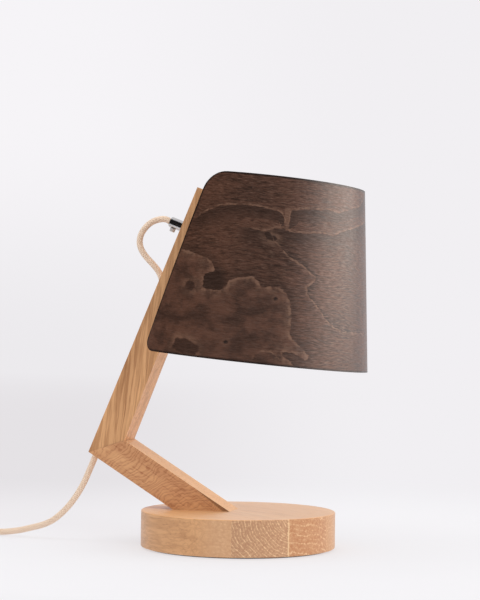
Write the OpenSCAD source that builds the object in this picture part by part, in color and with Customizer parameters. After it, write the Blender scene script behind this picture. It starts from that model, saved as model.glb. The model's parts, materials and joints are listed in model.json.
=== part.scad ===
/* [Base] */
// Diameter of the round wooden base
base_d = 190; // [170:1:220]
// Height of the base's top above the table
base_h = 36; // [28:1:46]
// Rounding of the base's rims
base_round = 1.2; // [0.5:0.1:3]
// Width of the glued staves in the base
stave_w = 51.5; // [44:0.5:58]
// Offset of the middle glue line from the base's centre
stave_shift = -5; // [-15:0.5:5]
// Direction of the staves, from the arm's plane
stave_angle = -43; // [-60:1:0]
// Thickness of the felt pad under the base
felt_t = 1.2; // [0.8:0.1:2.5]
// Step from the base's rim in to the felt pad
felt_inset = 5; // [2:0.5:10]

/* [Arms] */
// Distance of the elbow's outer corner behind the base's centre
elbow_back = 150; // [140:1:160]
// Height of the elbow's outer corner above the table
elbow_z = 90; // [82:1:98]
// Angle of the upper arm's rear face above the horizontal
upper_angle = 67.5; // [64:0.5:70]
// Angle of the lower arm below the horizontal
lower_angle = 31.5; // [29:0.5:34]
// Depth of both arms at the elbow, seen from the side
arm_w = 30; // [27:0.5:34]
// Thickness of both arms across the lamp
arm_t = 34; // [30:1:40]
// Taper of the upper arm's front face, in degrees
arm_taper = 1; // [0:0.25:1.5]
// Length of the upper arm's rear face
upper_len = 284; // [274:1:300]
// Distance of the shade's pivot below the upper arm's rear end
pivot_from_end = 42; // [34:1:48]

/* [Joinery] */
// Diameter of the dowels in the elbow's mitre
dowel_d = 6; // [5:0.5:8]
// Length of the elbow dowels
dowel_len = 24; // [18:1:26]
// Distance between the two elbow dowels
dowel_gap = 18; // [14:1:22]
// Shank diameter of the screws through the base
base_screw_d = 5; // [4:0.5:6]
// Head diameter of the screws through the base
base_screw_head_d = 9.5; // [8:0.5:12]
// Depth that the base screws reach into the arm's foot
base_screw_in = 14; // [8:1:16]
// Distance between the two base screws
base_screw_gap = 17; // [12:1:22]
// Distance of the base screws from the foot's heel
base_screw_from_heel = 14; // [10:1:18]
// Clearance between glued or screwed pieces
fit_gap = 0.1; // [0.05:0.05:0.2]

/* [Pivot] */
// Outside diameter of the threaded tube
tube_d = 8; // [7:0.5:9]
// Bore of the threaded tube
tube_bore = 5.6; // [5:0.1:6]
// Radial running clearance of the shade on the tube
run_gap = 0.05; // [0.03:0.01:0.08]
// Clearance between the faces that turn on each other
face_gap = 0.05; // [0.03:0.01:0.1]
// Diameter of the fibre disc between arm and shade
disc_d = 28; // [22:1:32]
// Thickness of the fibre disc
disc_t = 0.6; // [0.4:0.1:1.2]
// Diameter of the washer inside the shade
washer_d = 22; // [18:1:28]
// Thickness of the washer
washer_t = 1.5; // [1:0.1:2.5]
// Width across the flats of the lock nut
nut_af = 12; // [11:0.5:14]
// Thickness of the lock nut
nut_t = 4; // [3:0.5:6]

/* [Cord grip] */
// Outside diameter of the cord grip
grip_d = 10.6; // [10:0.1:13]
// Length of the cord grip behind the arm
grip_len = 17.5; // [15:0.5:22]
// Length of tube inside the cord grip
grip_tube_in = 7; // [5:0.5:9]
// Depth of the flat seat under the cord grip
grip_seat = 0.4; // [0.3:0.1:1]
// Shank diameter of the clamping screw
clamp_screw_d = 2.6; // [2:0.1:3]
// Head diameter of the clamping screw
clamp_head_d = 5.5; // [4:0.5:6]
// Height of the clamping screw's head
clamp_head_h = 3.5; // [2:0.5:4]
// Distance of the clamping screw from the cord grip's open end
clamp_from_end = 5; // [4:0.5:7]

/* [Shade] */
// Radius of the shade's lower rim
shade_r_low = 114; // [106:1:122]
// Radius of the shade's upper rim
shade_r_high = 93; // [86:1:100]
// Height of the shade along its own axis
shade_h = 175; // [165:1:185]
// Wall thickness of the bent veneer
shade_wall_t = 1.5; // [1:0.1:2.5]
// Angle between the shade's axis and its flat back
shade_tilt = 16; // [13:0.5:18]
// Drop of the lower rim's centre below the pivot, along the arm
shade_drop = 95.5; // [90:0.5:101]
// Distance of the lower rim's centre from the arm's front face
shade_out = 86; // [82:1:90]
// Corner rounding at the upper ends of the veneer
shade_round_high = 25; // [12:1:28]
// Corner rounding at the lower ends of the veneer
shade_round_low = 9; // [5:1:14]
// Thickness of the shade's back board
board_t = 5; // [4:0.5:8]
// Clearance between back board and veneer
board_gap = 0.15; // [0.1:0.05:0.3]

/* [Lampholder and bulb] */
// Outside diameter of the lampholder
holder_d = 28; // [26:1:34]
// Wall thickness of the lampholder
holder_wall = 2; // [1.5:0.1:3]
// Length of the lampholder's cap
holder_cap_len = 17; // [15:1:22]
// Length of the lampholder's skirt
holder_skirt_len = 28; // [24:1:34]
// Thickness of the terminal block
block_t = 9; // [8:0.5:12]
// Inside diameter of the lampholder's screw shell
shell_d = 14.6; // [14.4:0.1:15]
// Sheet thickness of the screw shell
shell_t = 0.5; // [0.4:0.1:0.8]
// Diameter of the bulb's screw cap
bulb_cap_d = 14; // [13.8:0.1:14.2]
// Length of the bulb's screw cap
bulb_cap_len = 22; // [20:1:26]
// Diameter of the bulb's globe
globe_d = 45; // [40:1:60]
// Thickness of the bulb's glass
glass_t = 1; // [0.8:0.1:1.5]
// Diameter of the insulated cores in the tube
core_d = 2.2; // [1.8:0.1:2.4]

/* [Cord] */
// Diameter of the textile cord
cord_d = 6.2; // [5.8:0.1:6.4]
// Width of the groove in the arm's rear face
groove_w = 6.8; // [6.6:0.1:8]
// Drop of the groove's upper end below the pivot, along the arm
groove_drop = 54; // [50:1:58]
// Radius of the coil's outer turn, at the cord's middle
coil_r = 46; // [44:1:50]
// Distance between neighbouring turns of the coil
coil_pitch = 6.8; // [6.7:0.1:7.2]
// Thickness of the ties round the coil
tie_t = 0.9; // [0.6:0.1:1.2]
// Width of the ties round the coil
tie_w = 8; // [5:0.5:12]

/* [Cord switch] */
// Length of the switch's case along the cord
switch_len = 58; // [54:1:66]
// Width of the switch's case
switch_w = 22; // [20:0.5:26]
// Height of the switch's case
switch_h = 15; // [14.5:0.5:18]
// Length of the rocker's window
rocker_window = 23; // [22:0.5:26]
// Width of the rocker
rocker_w = 10; // [8:0.5:11]
// Side clearance of the rocker in its window
rocker_gap = 0.3; // [0.2:0.05:0.5]
// Diameter of the rocker's pin
rocker_pin_d = 2; // [1.6:0.1:2.4]
// Tilt of the rocker to either side
rocker_tilt = 8; // [5:0.5:9]

/* [Plug] */
// Length of the plug's body
plug_len = 36; // [32:1:40]
// Width of the plug's body
plug_w = 35; // [33:0.5:37]
// Thickness of the plug's body
plug_h = 13.7; // [12:0.1:15]
// Length of the tapered strain relief
relief_len = 24; // [20:1:32]
// Diameter of the plug's pins
pin_d = 4; // [3.8:0.1:4.8]
// Length of the plug's pins
pin_len = 19; // [18:0.5:20]
// Distance between the plug's pins
pin_gap = 18.6; // [17.5:0.1:19.5]

/* [Hidden] */
$fn = 64;
// Overlap of a cutting shape past the face that it cuts
cut = 1;

// Plane geometry of the arms, as [x, z] pairs
function cross_2d(a, b) = a[0] * b[1] - a[1] * b[0];
elbow = [-elbow_back, elbow_z];
upper_dir = [cos(upper_angle), sin(upper_angle)];
upper_normal = [sin(upper_angle), -cos(upper_angle)];
lower_dir = [cos(lower_angle), -sin(lower_angle)];
lower_normal = [sin(lower_angle), cos(lower_angle)];
front_angle = upper_angle + arm_taper;
front_dir = [cos(front_angle), sin(front_angle)];
front_normal = [sin(front_angle), -cos(front_angle)];
front_start = elbow + arm_w * upper_normal;
lower_start = elbow + arm_w * lower_normal;
inner_corner = front_start
    + front_dir * cross_2d(lower_start - front_start, lower_dir) / cross_2d(front_dir, lower_dir);
arm_end_rear = elbow + upper_len * upper_dir;
arm_end_front = arm_end_rear + (arm_w - upper_len * tan(arm_taper)) * upper_normal;
foot_heel = elbow + lower_dir * (elbow[1] - base_h) / sin(lower_angle);
foot_tip = inner_corner + lower_dir * (inner_corner[1] - base_h) / sin(lower_angle);
mitre_mid = (elbow + inner_corner) / 2;
mitre_angle = atan2(inner_corner[1] - elbow[1], inner_corner[0] - elbow[0]);
pivot_t = upper_len - pivot_from_end;
pivot_rear = elbow + pivot_t * upper_dir;
arm_depth = (front_start - pivot_rear) * front_normal;
pivot = pivot_rear + arm_depth * front_normal;
base_screw_x = foot_heel[0] + base_screw_from_heel;

// Stack along the pivot's axis, measured from the arm's front face
shade_n = disc_t + face_gap;
washer_n = shade_n + board_t + face_gap;
nut_n = washer_n + washer_t;
cap_n = nut_n + nut_t;
tube_end_n = cap_n + holder_cap_len / 2;
block_n = cap_n + holder_cap_len - block_t / 2;
shell_n = block_n + block_t;
contact_h = 1;
tip_h = 5;
bulb_n = shell_n + contact_h + tip_h;
glass_n = bulb_n + bulb_cap_len;
skirt_n = cap_n + holder_cap_len;
grip_n = -arm_depth + grip_seat;
grip_end_n = grip_n - grip_len;
tube_start_n = grip_n - grip_tube_in;
grip_bore = cord_d + 4 * fit_gap;
clamp_n = grip_end_n + clamp_from_end;

// Shade in the plane of the arms: u runs up the arm's front face, n points away from it
shade_rim_dir = [sin(shade_tilt), cos(shade_tilt)];
shade_axis_dir = [cos(shade_tilt), -sin(shade_tilt)];
shade_low = [-shade_drop, shade_out];
shade_high = shade_low + shade_h * shade_axis_dir;
shade_low_corner = shade_low + shade_rim_dir * (shade_n - shade_low[1]) / shade_rim_dir[1];
shade_high_corner = shade_high + shade_rim_dir * (shade_n - shade_high[1]) / shade_rim_dir[1];
high_trim = shade_round_high / tan((90 + shade_tilt) / 2);
low_trim = shade_round_low / tan((90 - shade_tilt) / 2);
board_low_u = shade_low_corner[0] + low_trim;
board_high_u = shade_high_corner[0] - high_trim;
board_steps = 8;
corner_steps = 12;
// Half the shade's inner width on its flat back, at height u
function back_half_width(u) =
    let (p = [u, shade_n] - shade_low,
        along = p * shade_axis_dir,
        across = p * shade_rim_dir,
        r = shade_r_low - shade_wall_t - (shade_r_low - shade_r_high) * along / shade_h)
    sqrt(r * r - across * across);

// Cord routes
cord_r = cord_d / 2;
cord_depth = groove_w / 2 + fit_gap;
cord_sides = 10;
groove_top = pivot_t - groove_drop;
// Length of the groove's upper end in which the cord sinks in
groove_lead_in = 24;
groove_cord_top = groove_top - groove_lead_in;
// Loop behind the arm, as [depth from the rear face, height from the pivot along the arm]
loop_points = [[-22.2, 0], [-28, -2.2], [-34.7, -7.8], [-38.8, -15.3], [-40.4, -24], [-38.6, -31.7],
    [-34, -37.5], [-27, -42], [-18, -46], [-10, -50], [-4, -55], [-0.5, -61], [2, -67.5], [3.2, -73]];
// Lead from the elbow to the cord switch, past a short straight run out of the groove
lead_points = [[-154, 0, 71.5], [-159, 0, 60], [-165, 0, 49], [-172.6, 0, 38], [-181.8, 1, 28.1],
    [-192.7, 2.5, 19.4], [-204.5, 5, 13.8], [-218, 8, 10], [-232, 11.5, 6.5], [-244, 13.5, 4.5],
    [-254.5, 16, 3.4], [-264, 20, 3.6], [-273, 24.5, 5]];
// Cord between the switch and the coil
link_points = [[-353, 62, 7.1], [-365, 65, 6.3], [-377, 63, 5.4], [-387, 55.5, 4.8], [-393, 44, 4.5],
    [-394, 31, 4.5], [-394, 18, 4.5], [-394, 4, 4.5]];
coil_centre = [-348, -15];
coil_low_z = 4.5;
coil_start_angle = 180;
coil_turns = 6.25;
coil_rings = 24;
coil_climb = 0.5;
coil_sides = 6;
coil_layer = coil_pitch;
// Tail from the coil to the plug
tail_points = [[-342, -61, 11], [-336, -61, 10.1], [-330, -61, 8.4]];
plug_start = [-318, -61];
table_gap = 0.15;
plug_axis_z = plug_h / 2 + table_gap;
tie_angles = [110, 350];
tie_gap = 0.4;

function unit(v) = v / norm(v);
function smooth(x) = let (c = min(max(x, 0), 1)) c * c * (3 - 2 * c);
function tangent(path, i) = unit(path[min(i + 1, len(path) - 1)] - path[max(i - 1, 0)]);
function ring(centre, along, r, sides, ref) =
    let (side = unit(cross(ref, along)), up = cross(along, side))
    [for (k = [0:sides - 1]) centre + r * (cos(360 * k / sides) * side + sin(360 * k / sides) * up)];
function tube_points(path, r, sides, ref) =
    [for (i = [0:len(path) - 1]) each ring(path[i], tangent(path, i), r, sides, ref)];
function tube_faces(rings, sides) = concat(
    [for (k = [1:sides - 2]) [0, k, k + 1]],
    [for (i = [0:rings - 2], k = [0:sides - 1], half = [0, 1])
        let (a = i * sides + k, b = i * sides + (k + 1) % sides)
        half == 0 ? [a, a + sides, b + sides] : [a, b + sides, b]],
    [for (k = [1:sides - 2]) let (s = (rings - 1) * sides) [s, s + k + 1, s + k]]);
module tube(path, r, sides, ref) {
    polyhedron(points = tube_points(path, r, sides, ref), faces = tube_faces(len(path), sides));
}

// A point of the upper arm's frame: depth from the rear face, height along the arm
function arm_point(p) =
    let (q = elbow + p[1] * upper_dir + p[0] * upper_normal)
    [q[0], 0, q[1]];
// A point on the pivot's axis behind the arm
function axis_point(n) =
    let (q = pivot + n * front_normal)
    [q[0], 0, q[1]];
loop_path = concat(
    [axis_point(tube_start_n - fit_gap), axis_point((tube_start_n + grip_end_n) / 2), axis_point(grip_end_n)],
    [for (p = loop_points) arm_point([p[0], pivot_t + p[1]])],
    [arm_point([cord_depth, groove_cord_top + fit_gap])]);
lead_straight = 10;
switch_centre = [-316, 45];
switch_angle = 155;
switch_dir = [cos(switch_angle), sin(switch_angle)];
switch_axis_z = switch_h / 2;
function switch_end(side, out) =
    let (q = switch_centre + side * (switch_len / 2 + out) * switch_dir)
    [q[0], q[1], switch_axis_z];
lead_path = concat(
    [arm_point([cord_depth, -fit_gap]), arm_point([cord_depth, -lead_straight])],
    lead_points,
    [switch_end(-1, cord_d), switch_end(-1, fit_gap)]);
function coil_point(turn) =
    let (half = coil_turns / 2,
        r = coil_r - coil_pitch * (turn < half ? turn : coil_turns - turn),
        angle = coil_start_angle + 360 * turn,
        z = coil_low_z + coil_layer * smooth((turn - half) / coil_climb + 0.5))
    [coil_centre[0] + r * cos(angle), coil_centre[1] + r * sin(angle), z];
coil_path = concat(
    [switch_end(1, fit_gap), switch_end(1, cord_d)],
    link_points,
    [for (k = [0:coil_turns * coil_rings]) coil_point(k / coil_rings)],
    tail_points,
    [for (back = [cord_d, fit_gap]) [plug_start[0] - back, plug_start[1], plug_axis_z]]);
// Least gap between the coil's turns, from points at least half a turn apart
coil_gap = min([for (i = [0:len(coil_path) - 1], j = [i + coil_rings / 2:1:len(coil_path) - 1])
    norm(coil_path[i] - coil_path[j])]) - cord_d;
function path_length(path) = len(path) < 2 ? 0 : [for (i = 1, s = norm(path[1] - path[0]); i < len(path);
    i = i + 1, s = i < len(path) ? s + norm(path[i] - path[i - 1]) : s) s][len(path) - 2];
echo(coil_gap = coil_gap);
echo(lead = path_length(lead_path), coil = path_length(coil_path), loop = path_length(loop_path));

// Frames: the upper arm's rear face, the pivot's axis, the cord switch and the plug
module side_extrude(thickness) {
    rotate([90, 0, 0])
        linear_extrude(height = thickness, center = true)
            children();
}
module on_arm() {
    translate([elbow[0], 0, elbow[1]])
        rotate([0, 90 - upper_angle, 0])
            children();
}
module on_pivot() {
    translate([pivot[0], 0, pivot[1]])
        rotate([0, 180 - front_angle, 0])
            children();
}
module on_switch() {
    translate([switch_centre[0], switch_centre[1], 0])
        rotate([0, 0, switch_angle])
            children();
}
module on_plug() {
    translate([plug_start[0], plug_start[1], plug_axis_z])
        rotate([0, 90, 0])
            children();
}
// A round piece along the pivot's axis, from height n over a length
module pivot_rod(n, length, d) {
    on_pivot()
        translate([0, 0, n])
            cylinder(h = length, d = d);
}
module pivot_ring(n, length, d, bore) {
    difference() {
        pivot_rod(n, length, d);
        pivot_rod(n - cut, length + 2 * cut, bore);
    }
}

// Base
module base_profile(h) {
    r = base_d / 2;
    translate([0, base_round])
        square([r, h - 2 * base_round]);
    square([r - base_round, h]);
    for (y = [base_round, h - base_round])
        translate([r - base_round, y])
            circle(r = base_round);
}
module base_screw_places() {
    for (side = [-1, 1])
        translate([base_screw_x, side * base_screw_gap / 2, 0])
            children();
}
base_screw_head_h = (base_screw_head_d - base_screw_d) / 2;
module base_blank() {
    difference() {
        translate([0, 0, felt_t])
            rotate_extrude()
                base_profile(base_h - felt_t);
        base_screw_places() {
            cylinder(h = base_h + cut, d = base_screw_d + 2 * fit_gap);
            translate([0, 0, felt_t])
                cylinder(h = base_screw_head_h + fit_gap, d1 = base_screw_head_d + 2 * fit_gap,
                    d2 = base_screw_d);
        }
    }
}
function stave_low(i) = i == 1 ? -base_d : stave_shift + (i - 3) * stave_w;
function stave_high(i) = i == 4 ? base_d : stave_low(i + 1);
module base_stave(i) {
    color(i % 2 == 0 ? "burlywood" : "tan")
        intersection() {
            base_blank();
            rotate([0, 0, stave_angle])
                translate([-base_d, stave_low(i), 0])
                    cube([2 * base_d, stave_high(i) - stave_low(i), base_h + cut]);
        }
}
module felt_pad() {
    color("dimgray")
        cylinder(h = felt_t, d = base_d - 2 * felt_inset);
}
module base_screws() {
    shank = base_h - felt_t + base_screw_in;
    point = base_screw_d / 2;
    color("silver")
        base_screw_places()
            translate([0, 0, felt_t]) {
                cylinder(h = base_screw_head_h, d1 = base_screw_head_d, d2 = base_screw_d);
                cylinder(h = shank - point, d = base_screw_d);
                translate([0, 0, shank - point])
                    cylinder(h = point, d1 = base_screw_d, d2 = base_screw_d / 5);
            }
}

// Arms
module cord_groove() {
    on_arm()
        translate([0, 0, -lead_straight - arm_w]) {
            length = groove_top + lead_straight + arm_w;
            translate([cord_depth, 0, 0])
                cylinder(h = length, d = groove_w);
            translate([-groove_w, -groove_w / 2, 0])
                cube([groove_w + cord_depth, groove_w, length]);
        }
}
module dowel_places() {
    for (side = [-1, 1])
        translate([mitre_mid[0], side * dowel_gap / 2, mitre_mid[1]])
            rotate([0, -mitre_angle, 0])
                children();
}
module dowel_holes() {
    length = dowel_len + 2 * fit_gap;
    dowel_places()
        translate([0, 0, -length / 2])
            cylinder(h = length, d = dowel_d + 2 * fit_gap);
}
module lower_arm() {
    color("peru")
        difference() {
            side_extrude(arm_t)
                polygon([elbow, inner_corner, foot_tip, foot_heel]);
            cord_groove();
            dowel_holes();
            base_screw_places()
                translate([0, 0, base_h - cut])
                    cylinder(h = base_screw_in + fit_gap + cut, d = base_screw_d + 2 * fit_gap);
        }
}
module upper_arm() {
    color("peru")
        difference() {
            side_extrude(arm_t)
                polygon([elbow, arm_end_rear, arm_end_front, inner_corner]);
            cord_groove();
            dowel_holes();
            pivot_rod(-arm_depth - cut, arm_depth + 2 * cut, tube_d + 2 * fit_gap);
            pivot_rod(grip_n - arm_t, arm_t, grip_d + 4 * fit_gap);
        }
}
module elbow_dowels() {
    tip = dowel_d / 8;
    color("wheat")
        dowel_places()
            translate([0, 0, -dowel_len / 2]) {
                cylinder(h = tip, d1 = dowel_d - 2 * tip, d2 = dowel_d);
                translate([0, 0, tip])
                    cylinder(h = dowel_len - 2 * tip, d = dowel_d);
                translate([0, 0, dowel_len - tip])
                    cylinder(h = tip, d1 = dowel_d, d2 = dowel_d - 2 * tip);
            }
}

// Pivot hardware
module threaded_tube() {
    color("gold")
        pivot_ring(tube_start_n, tube_end_n - tube_start_n, tube_d, tube_bore);
}
module grip_body() {
    edge = 0.8;
    color("gainsboro")
        difference() {
            on_pivot()
                translate([0, 0, grip_end_n])
                    rotate_extrude()
                        polygon([[0, 0], [grip_d / 2 - edge, 0], [grip_d / 2, edge],
                            [grip_d / 2, grip_len], [0, grip_len]]);
            pivot_rod(tube_start_n, grip_tube_in + cut, tube_d + 2 * fit_gap);
            pivot_rod(grip_end_n - cut, grip_len, grip_bore);
            on_pivot()
                translate([0, 0, clamp_n])
                    rotate([0, 90, 0])
                        cylinder(h = grip_d, d = clamp_screw_d + 2 * fit_gap);
        }
}
module grip_screw() {
    tip = grip_bore / 2;
    head_from = grip_d / 2 + fit_gap;
    head_to = head_from + clamp_head_h;
    edge = 0.5;
    color("silver")
        on_pivot()
            translate([0, 0, clamp_n])
                rotate([0, 90, 0])
                    rotate_extrude()
                        polygon([[0, tip], [clamp_screw_d / 2, tip], [clamp_screw_d / 2, head_from],
                            [clamp_head_d / 2, head_from], [clamp_head_d / 2, head_to - edge],
                            [clamp_head_d / 2 - edge, head_to], [0, head_to]]);
}
module fibre_disc() {
    color("dimgray")
        pivot_ring(0, disc_t, disc_d, tube_d + 2 * fit_gap);
}
module pivot_washer() {
    color("silver")
        pivot_ring(washer_n, washer_t, washer_d, tube_d + 2 * fit_gap);
}
module lock_nut() {
    color("silver")
        difference() {
            on_pivot()
                translate([0, 0, nut_n])
                    cylinder(h = nut_t, d = nut_af / cos(30), $fn = 6);
            pivot_rod(nut_n - cut, nut_t + 2 * cut, tube_d + 2 * fit_gap);
        }
}

// Shade
module shade_shell() {
    slope = (shade_r_low - shade_r_high) / shade_h;
    low = shade_r_low + slope * cut;
    high = shade_r_high - slope * cut;
    translate([-shade_low[0], 0, shade_low[1]])
        rotate([0, -90 - shade_tilt, 0])
            rotate_extrude($fn = 128)
                polygon([[low - shade_wall_t, -cut], [low, -cut],
                    [high, shade_h + cut], [high - shade_wall_t, shade_h + cut]]);
}
function arc(middle, r, from, to) =
    [for (i = [0:corner_steps])
        let (a = from + (to - from) * i / corner_steps)
        middle + r * [cos(a), sin(a)]];
// Side outline of the veneer as [u, n] pairs, with rounded corners on the flat back
low_middle = [shade_low_corner[0] + low_trim, shade_n + shade_round_low];
high_middle = [shade_high_corner[0] - high_trim, shade_n + shade_round_high];
shade_outline = concat(
    [shade_low + 2 * shade_r_low * shade_rim_dir],
    arc(low_middle, shade_round_low, 180 - shade_tilt, 270),
    arc(high_middle, shade_round_high, 270, 360 - shade_tilt),
    [shade_high + 2 * shade_r_low * shade_rim_dir]);
module shade_wall() {
    color("saddlebrown")
        on_pivot()
            intersection() {
                shade_shell();
                side_extrude(2 * shade_r_low + 4 * cut)
                    mirror([1, 0])
                        polygon(shade_outline);
            }
}
module shade_back() {
    heights = [for (i = [0:board_steps]) board_low_u + (board_high_u - board_low_u) * i / board_steps];
    near = [for (u = heights) [-u, back_half_width(u) - board_gap]];
    far = [for (i = [board_steps:-1:0]) [near[i][0], -near[i][1]]];
    color("sienna")
        difference() {
            on_pivot()
                translate([0, 0, shade_n])
                    linear_extrude(height = board_t)
                        polygon(concat(near, far));
            pivot_rod(shade_n - cut, board_t + 2 * cut, tube_d + 2 * run_gap);
        }
}

// Lampholder and bulb
holder_r = holder_d / 2;
module holder_cap() {
    neck = tube_d / 2 + 3 * holder_wall / 2;
    flare = holder_cap_len / 2;
    color("ivory")
        difference() {
            on_pivot()
                translate([0, 0, cap_n])
                    rotate_extrude()
                        polygon([[0, 0], [neck, 0], [holder_r, flare],
                            [holder_r, holder_cap_len], [0, holder_cap_len]]);
            pivot_rod(cap_n - cut, holder_cap_len, tube_d + 2 * fit_gap);
            pivot_rod(block_n - fit_gap, holder_cap_len, holder_d - 2 * holder_wall);
        }
}
module holder_skirt() {
    lip = holder_wall;
    color("ivory")
        difference() {
            pivot_rod(skirt_n, holder_skirt_len, holder_d);
            pivot_rod(skirt_n - cut, holder_skirt_len - lip + cut, holder_d - 2 * holder_wall);
            pivot_rod(skirt_n, holder_skirt_len + cut, shell_d + 2 * shell_t + 2 * lip);
        }
}
module core_places() {
    for (side = [-1, 1])
        translate([0, side * tube_bore / 4, 0])
            children();
}
module terminal_block() {
    color("whitesmoke")
        difference() {
            pivot_rod(block_n, block_t, holder_d - 2 * holder_wall - 2 * fit_gap);
            on_pivot()
                translate([0, 0, block_n - cut])
                    core_places()
                        cylinder(h = block_t / 2 + cut, d = core_d + 2 * fit_gap);
        }
}
module screw_shell() {
    color("goldenrod")
        pivot_ring(shell_n, holder_skirt_len - block_t, shell_d + 2 * shell_t, shell_d);
}
module centre_contact() {
    color("goldenrod")
        pivot_rod(shell_n, contact_h, tip_h);
}
module core_wires() {
    color("saddlebrown")
        on_pivot()
            translate([0, 0, tube_start_n + fit_gap])
                core_places()
                    cylinder(h = block_n + block_t / 2 - tube_start_n - 2 * fit_gap, d = core_d);
}
module bulb_cap() {
    color("silver")
        pivot_rod(bulb_n, bulb_cap_len, bulb_cap_d);
}
module bulb_tip() {
    color("black")
        on_pivot()
            translate([0, 0, shell_n + contact_h])
                cylinder(h = tip_h, d1 = tip_h, d2 = bulb_cap_d - 2 * glass_t);
}
module globe_half(r, neck, h) {
    intersection() {
        union() {
            translate([0, h])
                circle(r = r);
            square([neck, h]);
        }
        square([r, h + r]);
    }
}
module bulb_glass() {
    neck = bulb_cap_d / 2;
    rise = globe_d / 2 + glass_t;
    color("white", 0.8)
        on_pivot()
            translate([0, 0, glass_n])
                rotate_extrude()
                    difference() {
                        globe_half(globe_d / 2, neck, rise);
                        globe_half(globe_d / 2 - glass_t, neck - glass_t, rise);
                    }
}

// Cord
module cord_loop() {
    color("bisque")
        tube(loop_path, cord_r, cord_sides, [0, 1, 0]);
}
module cord_in_groove() {
    color("bisque")
        on_arm()
            translate([cord_depth, 0, 0])
                cylinder(h = groove_cord_top, r = cord_r);
}
module cord_lead() {
    color("bisque")
        tube(lead_path, cord_r, cord_sides, [0, 1, 0]);
}
module cord_coil() {
    color("bisque")
        tube(coil_path, cord_r, coil_sides, [0, 0, 1]);
}
module coil_ties() {
    inner_r = coil_r - coil_pitch * coil_turns / 2 - cord_r - tie_gap;
    width = coil_r + cord_r + tie_gap - inner_r;
    top = coil_low_z + coil_layer + cord_r + tie_gap;
    color("black")
        translate([coil_centre[0], coil_centre[1], 0])
            for (angle = tie_angles)
                rotate([0, 0, angle])
                    side_extrude(tie_w)
                        difference() {
                            translate([inner_r - tie_t, 0])
                                square([width + 2 * tie_t, top + tie_t]);
                            translate([inner_r, tie_t])
                                square([width, top - tie_t]);
                        }
}

// Cord switch
parting_z = switch_h / 2;
case_wall = (switch_w - rocker_w) / 2 - rocker_gap;
module case_outline() {
    square([switch_len - switch_w, switch_w], center = true);
    for (side = [-1, 1])
        translate([side * (switch_len - switch_w) / 2, 0])
            circle(d = switch_w);
}
module rocker_room(z, h) {
    translate([-rocker_window / 2, -rocker_w / 2 - rocker_gap, z])
        cube([rocker_window, rocker_w + 2 * rocker_gap, h]);
}
module rocker_pin_hole(d, length) {
    translate([0, 0, parting_z])
        rotate([90, 0, 0])
            cylinder(h = length, d = d, center = true);
}
switch_screw_d = 3;
switch_screw_head_d = 5.6;
switch_screw_head_h = (switch_screw_head_d - switch_screw_d) / 2;
switch_floor = 1.6;
pin_len_in_case = rocker_w + 2 * rocker_gap + case_wall;
module switch_screw_places() {
    for (side = [-1, 1])
        translate([side * (rocker_window / 2 + switch_w / 3), side * switch_w / 4, 0])
            children();
}
module switch_base() {
    color("ivory")
        on_switch()
            difference() {
                linear_extrude(height = parting_z)
                    case_outline();
                rocker_room(switch_floor, switch_h);
                rocker_pin_hole(rocker_pin_d + 2 * fit_gap, pin_len_in_case + 2 * fit_gap);
                switch_screw_places() {
                    translate([0, 0, -cut])
                        cylinder(h = switch_h, d = switch_screw_d + 2 * fit_gap);
                    translate([0, 0, -cut])
                        cylinder(h = switch_screw_head_h + cut, d = switch_screw_head_d + 2 * fit_gap);
                }
            }
}
module switch_cover() {
    screw_in = parting_z - switch_floor;
    color("ivory")
        on_switch()
            difference() {
                translate([0, 0, parting_z])
                    linear_extrude(height = switch_h - parting_z)
                        case_outline();
                rocker_room(parting_z - cut, switch_h);
                rocker_pin_hole(rocker_pin_d + 2 * fit_gap, pin_len_in_case + 2 * fit_gap);
                switch_screw_places()
                    translate([0, 0, parting_z - cut])
                        cylinder(h = screw_in + cut, d = switch_screw_d + 2 * fit_gap);
            }
}
module switch_rocker() {
    end_gap = 1.2;
    hub_wall = 1.4;
    edge = 4;
    dish = 1.8;
    reach = rocker_window / 2 - end_gap;
    top = switch_h - parting_z;
    hub = rocker_pin_d / 2 + hub_wall;
    color("ivory")
        on_switch()
            translate([0, 0, parting_z])
                rotate([0, rocker_tilt, 0])
                    difference() {
                        union() {
                            side_extrude(rocker_w)
                                polygon([[-hub / 2, 0], [-reach, top - edge], [-reach, top], [0, top - dish],
                                    [reach, top], [reach, top - edge], [hub / 2, 0]]);
                            rotate([90, 0, 0])
                                cylinder(h = rocker_w, r = hub, center = true);
                        }
                        rotate([90, 0, 0])
                            cylinder(h = rocker_w + 2 * cut, d = rocker_pin_d + 2 * run_gap, center = true);
                    }
}
module switch_pin() {
    color("silver")
        on_switch()
            rocker_pin_hole(rocker_pin_d, pin_len_in_case);
}
module switch_screws() {
    color("silver")
        on_switch()
            switch_screw_places() {
                cylinder(h = switch_screw_head_h, d = switch_screw_head_d);
                cylinder(h = switch_h - switch_floor - fit_gap, d = switch_screw_d);
            }
}

// Plug, built along its own axis from the cord's end
module plug_relief() {
    lip = 0.6;
    step = 1;
    color("ivory")
        on_plug()
            cylinder(h = relief_len, r1 = cord_r + lip, r2 = plug_h / 2 - step);
}
module plug_body() {
    nose_share = 0.45;
    nose = plug_len * nose_share;
    neck = plug_h / 2;
    color("ivory")
        on_plug()
            translate([0, 0, relief_len])
                rotate([0, -90, 0])
                    linear_extrude(height = plug_h, center = true)
                        polygon([[0, -neck], [nose, -plug_w / 2], [plug_len, -plug_w / 2],
                            [plug_len, plug_w / 2], [nose, plug_w / 2], [0, neck]]);
}
module plug_pins() {
    color("silver")
        on_plug()
            translate([0, 0, relief_len + plug_len])
                for (side = [-1, 1])
                    translate([0, side * pin_gap / 2, 0]) {
                        cylinder(h = pin_len - pin_d / 2, d = pin_d);
                        translate([0, 0, pin_len - pin_d / 2])
                            sphere(d = pin_d);
                    }
}

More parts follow.
